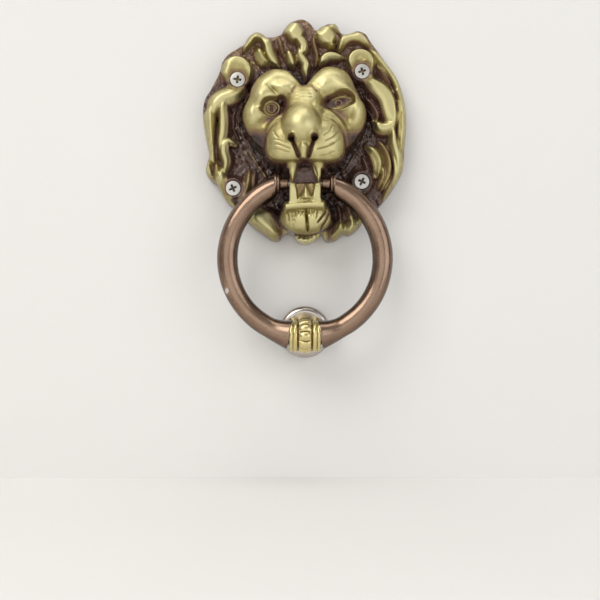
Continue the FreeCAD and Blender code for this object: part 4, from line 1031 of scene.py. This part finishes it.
def screw(x, z, seat, turn):
    """Head rows from the middle out with the cross sunk in them, then the cone, shank and thread,
    which is the square of a cosine wave running round as it goes along. Also each place's painted
    shade: nought, black, down in the cross, a half at the head's outer edge, and one elsewhere."""
    around = 96
    core = 1.3
    end = 35.0
    angle = np.linspace(0, 2 * math.pi, around, endpoint=False)
    from_cross = angle - math.radians(turn)
    rows = []
    shade = []
    for radius in (0.12, 0.28, 0.42, 0.6, 0.9, 1.2, 1.5, 1.75, 1.95, 2.1, 2.5, 3.0, 3.3,
                   HEAD_RADIUS - 0.04):
        u = np.abs(radius * np.cos(from_cross))
        v = np.abs(radius * np.sin(from_cross))
        across = np.minimum(u, v)
        along = np.maximum(u, v)
        sink = (1 - step(across, 0.34, 0.52)) * (1 - step(along, 1.55, 2.05))
        dome = 0.22 * (1 - (radius / HEAD_RADIUS) ** 2)
        height = seat + dome - 1.3 * sink * (1 - 0.35 * along / 2)
        rows.append(np.stack([x + radius * np.cos(angle), -height, z + radius * np.sin(angle)],
                             axis=-1))
        # Painted shade: black down in the cross.
        shade.append(1 - sink)
    head = np.array(rows)
    cone = [(HEAD_RADIUS, 0.06), (HEAD_RADIUS, 0.38), (core, 2.6), (core, seat + 0.3)]
    low = lathe(cone, (x, -seat, z), (0, 1, 0), around)
    length = np.linspace(seat + 0.5, end - 0.4, 190)
    taper = np.clip((end - length) / 4.0, 0.05, 1)

    def thread(along, around_angle):
        """Radius factor: one, and more on the thread's ridge."""
        phase = along / SCREW_PITCH * 2 * math.pi - around_angle
        return 1 + 0.34 * np.clip(np.cos(phase), 0, None) ** 2

    shank = np.stack([core * taper, length], axis=1)
    shank = lathe(shank, (x, -seat, z), (0, 1, 0), around, thread)
    side = np.arctan2(low[0][:, 2] - z, low[0][:, 0] - x)
    first = int(np.argmin(np.abs(side)))
    low, shank = (np.roll(rows, -first, axis=1) for rows in (low, shank))
    if np.sin(np.arctan2(low[0][1, 2] - z, low[0][1, 0] - x)) < 0:
        low, shank = (np.roll(rows[:, ::-1], 1, axis=1) for rows in (low, shank))
    # Painted shade: the head's outer edge is half dark.
    rest = np.ones(low.shape[:2])
    rest[:1] = 0.5
    shade = np.concatenate([shade[:1], shade, rest, np.ones((len(shank) + 1, around))])
    return skin(np.concatenate([head, low, shank])), shade.ravel()


def plated(name, colour, low, high, scale, painted_shade=False):
    """Plated steel with fine uneven polish: roughness from low to high. On a piece with painted shade
    the patina attribute says how lit each place is, and nought is black painted shade."""
    made, shader, nodes, links, place = start_material(name)
    cloud = noise_of(nodes, links, place, scale, 3.0, 0.6)
    dim = tuple(0.8 * part for part in colour)
    value, stops = cloud, [(0.3, dim), (0.7, colour)]
    if painted_shade:
        unshaded = nodes.new("ShaderNodeAttribute")
        unshaded.attribute_name = "patina_and_painted_light"
        value = sum_of(nodes, links, unshaded.outputs["Fac"], cloud, 0.5)
        stops = [(0.2, (0.02, 0.018, 0.016)), (0.7, dim), (1.0, colour)]
    links.new(ramp_of(nodes, links, value, stops), shader.inputs["Base Color"])
    shader.inputs["Metallic"].default_value = 1.0
    links.new(map_of(nodes, links, cloud, 0.3, 0.7, low, high), shader.inputs["Roughness"])
    bump_on(nodes, links, shader, cloud, 0.00005, 0.3)
    return made


screw_steel = plated("nickel_plate", (0.58, 0.56, 0.52), 0.34, 0.5, 500, painted_shade=True)
screws = [screw(*place) for place in SCREWS]
piece("fixing_screws", joined(*[shape for shape, _ in screws]), "mask",
      ["mask_screws"], screw_steel, 50, np.concatenate([shade for _, shade in screws]))


# Ring arms: two cast arms of copper-brown lacquer, mirrored. Each is a neck on the pivot pin, two
# collar beads, then the round bow that flares into the band's side.
# They lean out a little, with the band against the striker.
LEAN = math.radians(1.6)

# (radius, distance out along the pivot pin) of the neck and its two collar beads.
NECK = [(0.2, 7.85), (2.6, 7.85), (2.85, 8.15), (2.85, 11.4), (3.1, 11.8), (4.5, 11.9),
        (4.9, 12.2), (4.9, 12.8), (4.3, 13.05), (4.9, 13.3), (5.0, 13.9), (4.5, 14.5), (2.0, 14.7)]
BAND_HALF = 7.15
FLARE_LENGTH = 11.0
FLARE_RADIUS = 7.1
CHIP = (36.6, -50.9)


def rounded(profile, size, spans):
    """A profile with each of its inner corners cut by a small quarter curve (a quadratic through
    the corner's two cut points)."""
    p = np.asarray(profile, dtype=float)
    t = np.linspace(0, 1, spans + 1)[:, None]
    out = [p[:1]]
    for before, corner, after in zip(p[:-2], p[1:-1], p[2:]):
        back = before - corner
        on = after - corner
        cut = min(size, np.hypot(*back) * 0.45, np.hypot(*on) * 0.45)
        a = corner + back / np.hypot(*back) * cut
        b = corner + on / np.hypot(*on) * cut
        out.append((1 - t) ** 2 * a + 2 * t * (1 - t) * corner + t ** 2 * b)
    out.append(p[-1:])
    return np.concatenate(out)


def lean_out(shape):
    """Points turned about the pivot axis by the ring's lean."""
    points, quads = shape
    moved = points.copy()
    y = points[:, 1] + PIVOT_HEIGHT
    z = points[:, 2] - PIVOT_Z
    moved[:, 1] = y * math.cos(LEAN) + z * math.sin(LEAN) - PIVOT_HEIGHT
    moved[:, 2] = z * math.cos(LEAN) - y * math.sin(LEAN) + PIVOT_Z
    return moved, quads


def arm(side):
    """Rows turned for the neck along the pivot axis, then circles swept round the bow to the band:
    each is square to the bow's arc, except near the collar, where it turns to meet it. The flare
    grows with a power of how near the band is. Also a painted highlight on each place, brightest
    where it faces the front, with painted shade on the sides, and the real bare metal of a chip."""
    around = 64
    angle = np.linspace(0, 2 * math.pi, around, endpoint=False)
    band_angle = math.degrees(math.asin(BAND_HALF / RING_RADIUS))
    flare = math.degrees(FLARE_LENGTH / RING_RADIUS)
    turn = np.linspace(GAP_ANGLE, 180 - band_angle, 220)
    radius = np.full(turn.shape, TUBE)
    left = (180 - band_angle - turn) / flare
    radius += (FLARE_RADIUS - TUBE) * np.clip(1 - left, 0, 1) ** 1.5
    wander = 0.012 * np.sin(np.radians(turn * 5.3 + 40 * side))
    radius *= 1 + wander + 0.006 * np.sin(np.radians(turn * 13.1))
    radius -= 0.5 * np.exp(-((turn - 180 + band_angle) / 0.5) ** 2)
    radius *= 1 - 0.12 * np.exp(-((turn - GAP_ANGLE) / 0.4) ** 2)
    low = lathe(rounded(NECK, 0.3, 3), (0, 0, 0), (1, 0, 0), around)
    rows = []
    for theta, size in zip(np.radians(turn), radius):
        centre = np.array([RING_RADIUS * math.sin(theta), 0.0,
                           -CENTRE_DROP + RING_RADIUS * math.cos(theta)])
        square = 1 - float(step(math.degrees(theta) - GAP_ANGLE, 0.0, 9.0))
        tilt = theta - math.radians(GAP_ANGLE) * square
        out = np.array([math.sin(tilt), 0.0, math.cos(tilt)])
        across = np.cos(angle)[:, None] * np.array([0.0, -1.0, 0.0])
        rows.append(centre + size * (across + np.sin(angle)[:, None] * out))
    bow = np.array(rows)
    low_crest = -low[..., 1] / np.maximum(np.hypot(low[..., 1], low[..., 2]), 0.1)
    bow_crest = -bow[..., 1] / radius[:, None]
    off_x = (bow[..., 0] - CHIP[0]) / 0.9
    off_z = (bow[..., 2] - CHIP[1]) / 1.2
    chip = np.exp(-(off_x ** 2 + off_z ** 2)) * (side < 0)
    bow[..., 0] -= 0.4 * chip
    shapes = []
    tone = []
    for part, crest, scar in ((low, low_crest, 0), (bow, bow_crest, chip)):
        placed = part.copy()
        placed[..., 0] *= side
        placed += (0, -PIVOT_HEIGHT, PIVOT_Z)
        shapes.append(skin(placed))
        # Painted highlight where the bow faces the front, falling to painted shade on its sides; the
        # chip adds real bare metal.
        sheen_and_chip = step(crest, 0.1, 1.05) + 1.6 * scar
        tone.append(np.concatenate([sheen_and_chip[:1], sheen_and_chip, sheen_and_chip[-1:]]).ravel())
    return lean_out(joined(*shapes)), np.concatenate(tone)


def ring_lacquer():
    """Copper-brown lacquered casting: darker and redder in clouds, clear coat over it. The patina
    attribute paints a highlight along the front of the bow and shade on its sides; its palest colour
    is mostly the bare metal of the chip.
    """
    made, shader, nodes, links, place = start_material("copper_lacquer")
    cloud = noise_of(nodes, links, place, 90, 3.0, 0.6)
    crest = nodes.new("ShaderNodeAttribute")
    crest.attribute_name = "patina_and_painted_light"
    mix = sum_of(nodes, links, crest.outputs["Fac"], cloud, 0.5)
    mix = map_of(nodes, links, mix, 0.0, 2.2, 0.0, 1.0)
    colour = ramp_of(nodes, links, mix, [
        (0.10, (0.030, 0.013, 0.008)), (0.26, (0.085, 0.042, 0.024)), (0.42, (0.17, 0.096, 0.058)),
        (0.60, (0.30, 0.195, 0.13)), (0.85, (0.62, 0.60, 0.57)),
    ])
    links.new(colour, shader.inputs["Base Color"])
    shader.inputs["Metallic"].default_value = 0.85
    links.new(map_of(nodes, links, cloud, 0.3, 0.7, 0.2, 0.3), shader.inputs["Roughness"])
    shader.inputs["Coat Weight"].default_value = 0.6
    shader.inputs["Coat Roughness"].default_value = 0.08
    lump = noise_of(nodes, links, place, 260, 2.0, 0.5)
    bump_on(nodes, links, shader, lump, 0.0004, 0.25)
    return made


lacquer = ring_lacquer()
left_bow, left_sheen_and_chip = arm(-1)
right_bow, right_sheen_and_chip = arm(1)
piece("left_ring_bow", left_bow, "ring", ["left_ring_arm"], lacquer, 50,
      left_sheen_and_chip)
piece("right_ring_bow", right_bow, "ring", ["right_ring_arm"], lacquer, 50,
      right_sheen_and_chip)


# Band: turned and fluted brass sleeve round the joint of the arms. Two collars with a groove
# each stand beside a barrel of rounded lobes.
LOBES = 10
BARREL_HALF = 2.8
BARREL_RADIUS = 8.2


def band():
    """Rows turned along the ring's tangent. Over the barrel the radius dips between the lobes with
    a power of the cosine of half the lobe angle. Also how far out each place stands."""
    collar = [(6.3, -BAND_HALF), (6.9, -BAND_HALF), (7.25, -6.8), (7.3, -6.2), (7.1, -5.8),
              (6.7, -5.6), (7.15, -5.35), (7.5, -4.7), (7.4, -4.0), (7.0, -3.6), (6.3, -3.35),
              (6.3, -3.0)]
    collar = rounded(collar, 0.3, 3)
    barrel_length = np.linspace(-BARREL_HALF, BARREL_HALF, 23)
    barrel_radius = BARREL_RADIUS - 1.1 * np.abs(barrel_length / BARREL_HALF) ** 2.6
    barrel = np.stack([barrel_radius, barrel_length], axis=1)
    profile = np.concatenate([collar, barrel, collar[::-1] * (1, -1)])

    def lobes(length, angle):
        """Radius factor: one on a lobe's crest, and less between lobes."""
        inside = np.clip(1 - (np.abs(length) / 2.95) ** 8, 0, 1)
        wave = 1 - 0.13 * (1 - np.abs(np.cos(angle * LOBES / 2)) ** 0.6)
        return 1 + (wave - 1) * inside

    middle = np.array([0, -PIVOT_HEIGHT, PIVOT_Z - CENTRE_DROP - RING_RADIUS])
    rows = lathe(profile, middle, (1, 0, 0), LOBES * 24, lobes)
    far = np.hypot(*(rows - middle)[..., 1:].transpose(2, 0, 1))
    along = np.abs(rows[..., 0])
    full = BARREL_RADIUS - 1.1 * np.clip(along / BARREL_HALF, 0, 1) ** 2.6
    high = np.where(along < BARREL_HALF + 0.1, step(far / full, 0.87, 0.95), step(far, 6.6, 7.1))
    patina_and_painted_light = 0.1 + 0.9 * high
    return lean_out(skin(rows)), np.concatenate([patina_and_painted_light[:1], patina_and_painted_light, patina_and_painted_light[-1:]]).ravel()


def band_brass():
    """Satin brass of the band, browner in its grooves and between its lobes."""
    made, shader, nodes, links, place = start_material("band_brass")
    depth = nodes.new("ShaderNodeAttribute")
    depth.attribute_name = "patina_and_painted_light"
    cloud = noise_of(nodes, links, place, 700, 3.0, 0.6)
    mix = sum_of(nodes, links, depth.outputs["Fac"], cloud, 0.3)
    colour = ramp_of(nodes, links, mix, [
        (0.1, (0.075, 0.036, 0.018)), (0.5, (0.35, 0.25, 0.10)), (1.0, (0.66, 0.56, 0.27)),
    ])
    links.new(colour, shader.inputs["Base Color"])
    shader.inputs["Metallic"].default_value = 1.0
    links.new(map_of(nodes, links, cloud, 0.3, 0.7, 0.24, 0.36), shader.inputs["Roughness"])
    bump_on(nodes, links, shader, cloud, 0.0001, 0.12)
    return made


band_rows, band_patina = band()
piece("fluted_band", joined(band_rows), "ring", ["ring_band"], band_brass(), 50,
      band_patina)


# Striker: a round plated button that the band falls on, with a rolled rim and a dished face,
# on a pointed stud that goes into the door.
STUD_PITCH = 1.5


def striker():
    """Rows turned from the door's face out over the rolled rim, a quarter circle, into the dish,
    whose depth goes with the square of the radius."""
    low, high = (np.array(corner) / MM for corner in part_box("striker_button"))
    radius = (high[0] - low[0]) / 2
    thick = -low[1]
    start = ((low[0] + high[0]) / 2, 0, (low[2] + high[2]) / 2)
    roll_size = 2.6
    side = [(2.2, 0.0), (radius - 0.3, 0.0), (radius, 0.3), (radius, thick - roll_size)]
    side = rounded(side, 0.2, 3)
    turn = np.linspace(0.1, 1.0, 12) * math.pi / 2
    roll = np.stack([radius - roll_size + roll_size * np.cos(turn),
                     thick - roll_size + roll_size * np.sin(turn)], axis=1)
    dish_radius = np.linspace(radius - 3.1, 0.3, 16)
    dish_height = thick - 0.62 + 0.6 * (dish_radius / (radius - roll_size)) ** 2
    dish = np.stack([dish_radius, dish_height], axis=1)
    return skin(lathe(np.concatenate([side, roll, dish]), start, (0, -1, 0), 128))


def stud():
    """Rows turned from inside the button to the point, with a thread on the part in the door: the
    square of a cosine wave that runs round as it goes along."""
    low, high = (np.array(corner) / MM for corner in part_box("striker_stud"))
    start = ((low[0] + high[0]) / 2, low[1], (low[2] + high[2]) / 2)
    long = high[1] - low[1]
    length = np.linspace(8.0, long - 0.2, 240)
    taper = np.clip((long - length) / 4.0, 0.04, 1)
    core = 1.6
    root = lathe([(2.2, 0.0), (2.2, 7.0), (core, 7.3)], start, (0, 1, 0), 64)

    def thread(along, angle):
        """Radius factor: one, and more on the thread's ridge."""
        return 1 + 0.25 * np.clip(np.cos(along / STUD_PITCH * 2 * math.pi - angle), 0, None) ** 2

    low_part = lathe(np.stack([core * taper, length], axis=1), start, (0, 1, 0), 64, thread)
    return skin(np.concatenate([root, low_part]))


striker_metal = plated("striker_plate", (0.50, 0.45, 0.41), 0.12, 0.2, 220)
piece("striker_disc", joined(striker()), "mask", ["striker_button"],
      striker_metal, 50)
point = joined(stud())
piece("striker_point", point, "mask", ["striker_stud"], screw_steel, 50,
      np.ones(len(point[0])))


# Pivot pin and dowel: plain ground steel. Their solids in the frame have the right shape, so
# they only get their metal.
pin_steel = plated("ground_steel", (0.56, 0.55, 0.53), 0.25, 0.4, 400)
for node in ("pivot_pin", "ring_dowel"):
    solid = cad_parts[node]
    solid.data.materials.clear()
    solid.data.materials.append(pin_steel)


# Stage: a pale floor and a pale board behind the door's face, which only hides what is behind
# it when it is seen from the front.
BOARD_Y = 0.0008
FLOOR_Z = CAD_BOX[0][2] - 0.06
BOARD_TOP = 1.2
REACH = 1.5


def board(name, corners, see_through_back):
    """One pale sheet with a faint unevenness."""
    mesh = bpy.data.meshes.new(name)
    mesh.from_pydata(corners, [], [(0, 1, 2, 3)])
    made = bpy.data.objects.new(name, mesh)
    bpy.context.scene.collection.objects.link(made)
    paint, shader, nodes, links, place = start_material(name + "_paint")
    cloud = noise_of(nodes, links, place, 3.0)
    links.new(ramp_of(nodes, links, cloud, [(0.0, (0.74, 0.73, 0.71)), (1.0, (0.8, 0.79, 0.77))]),
              shader.inputs["Base Color"])
    shader.inputs["Roughness"].default_value = 0.9
    if see_through_back:
        side = nodes.new("ShaderNodeNewGeometry").outputs["Backfacing"]
        clear = nodes.new("ShaderNodeBsdfTransparent")
        mix = nodes.new("ShaderNodeMixShader")
        links.new(side, mix.inputs["Fac"])
        links.new(shader.outputs["BSDF"], mix.inputs[1])
        links.new(clear.outputs["BSDF"], mix.inputs[2])
        links.new(mix.outputs["Shader"], nodes["Material Output"].inputs["Surface"])
    made.data.materials.append(paint)


board("studio_floor", [(-REACH, -REACH, FLOOR_Z), (REACH, -REACH, FLOOR_Z), (REACH, REACH, FLOOR_Z),
                       (-REACH, REACH, FLOOR_Z)], False)
board("studio_board", [(-REACH, BOARD_Y, FLOOR_Z), (REACH, BOARD_Y, FLOOR_Z),
                       (REACH, BOARD_Y, BOARD_TOP), (-REACH, BOARD_Y, BOARD_TOP)], True)


# Light: four soft lamps and an even grey world, with the camera square to the door.


def lamp(name, place, target, size, power, colour=(1, 1, 1)):
    """Square soft lamp aimed at a place."""
    light = bpy.data.lights.new(name, "AREA")
    light.size = size
    light.energy = power
    light.color = colour
    made = bpy.data.objects.new(name, light)
    bpy.context.scene.collection.objects.link(made)
    made.location = place
    away = np.array(place) - np.array(target)
    across = np.hypot(away[0], away[1])
    made.rotation_euler = (math.atan2(across, away[2]), 0, math.atan2(away[0], -away[1]))


lamp("key_lamp", (-0.55, -0.75, 0.75), (0, 0, -0.03), 0.75, 7.0, (1.0, 0.98, 0.95))
lamp("fill_lamp", (0.75, -0.7, 0.15), (0, 0, -0.03), 0.8, 3.0, (0.95, 0.97, 1.0))
lamp("top_lamp", (0.1, -0.15, 1.0), (0, 0, -0.02), 0.7, 3.5)
lamp("low_lamp", (-0.1, -0.6, -0.15), (0, 0, -0.03), 0.6, 1.0)
world = bpy.data.worlds.new("studio")
world.use_nodes = True
world.node_tree.nodes["Background"].inputs["Color"].default_value = (0.78, 0.77, 0.75, 1)
world.node_tree.nodes["Background"].inputs["Strength"].default_value = 0.42
bpy.context.scene.world = world
bpy.context.scene.view_settings.view_transform = "Standard"

camera_data = bpy.data.cameras.new("camera")
camera_data.lens = 46.08
camera_data.sensor_width = 36.0
camera = bpy.data.objects.new("camera", camera_data)
bpy.context.scene.collection.objects.link(camera)
camera.location = (-0.00235, -0.380, -0.0815)
camera.rotation_euler = (math.pi / 2, 0, 0)
bpy.context.scene.camera = camera
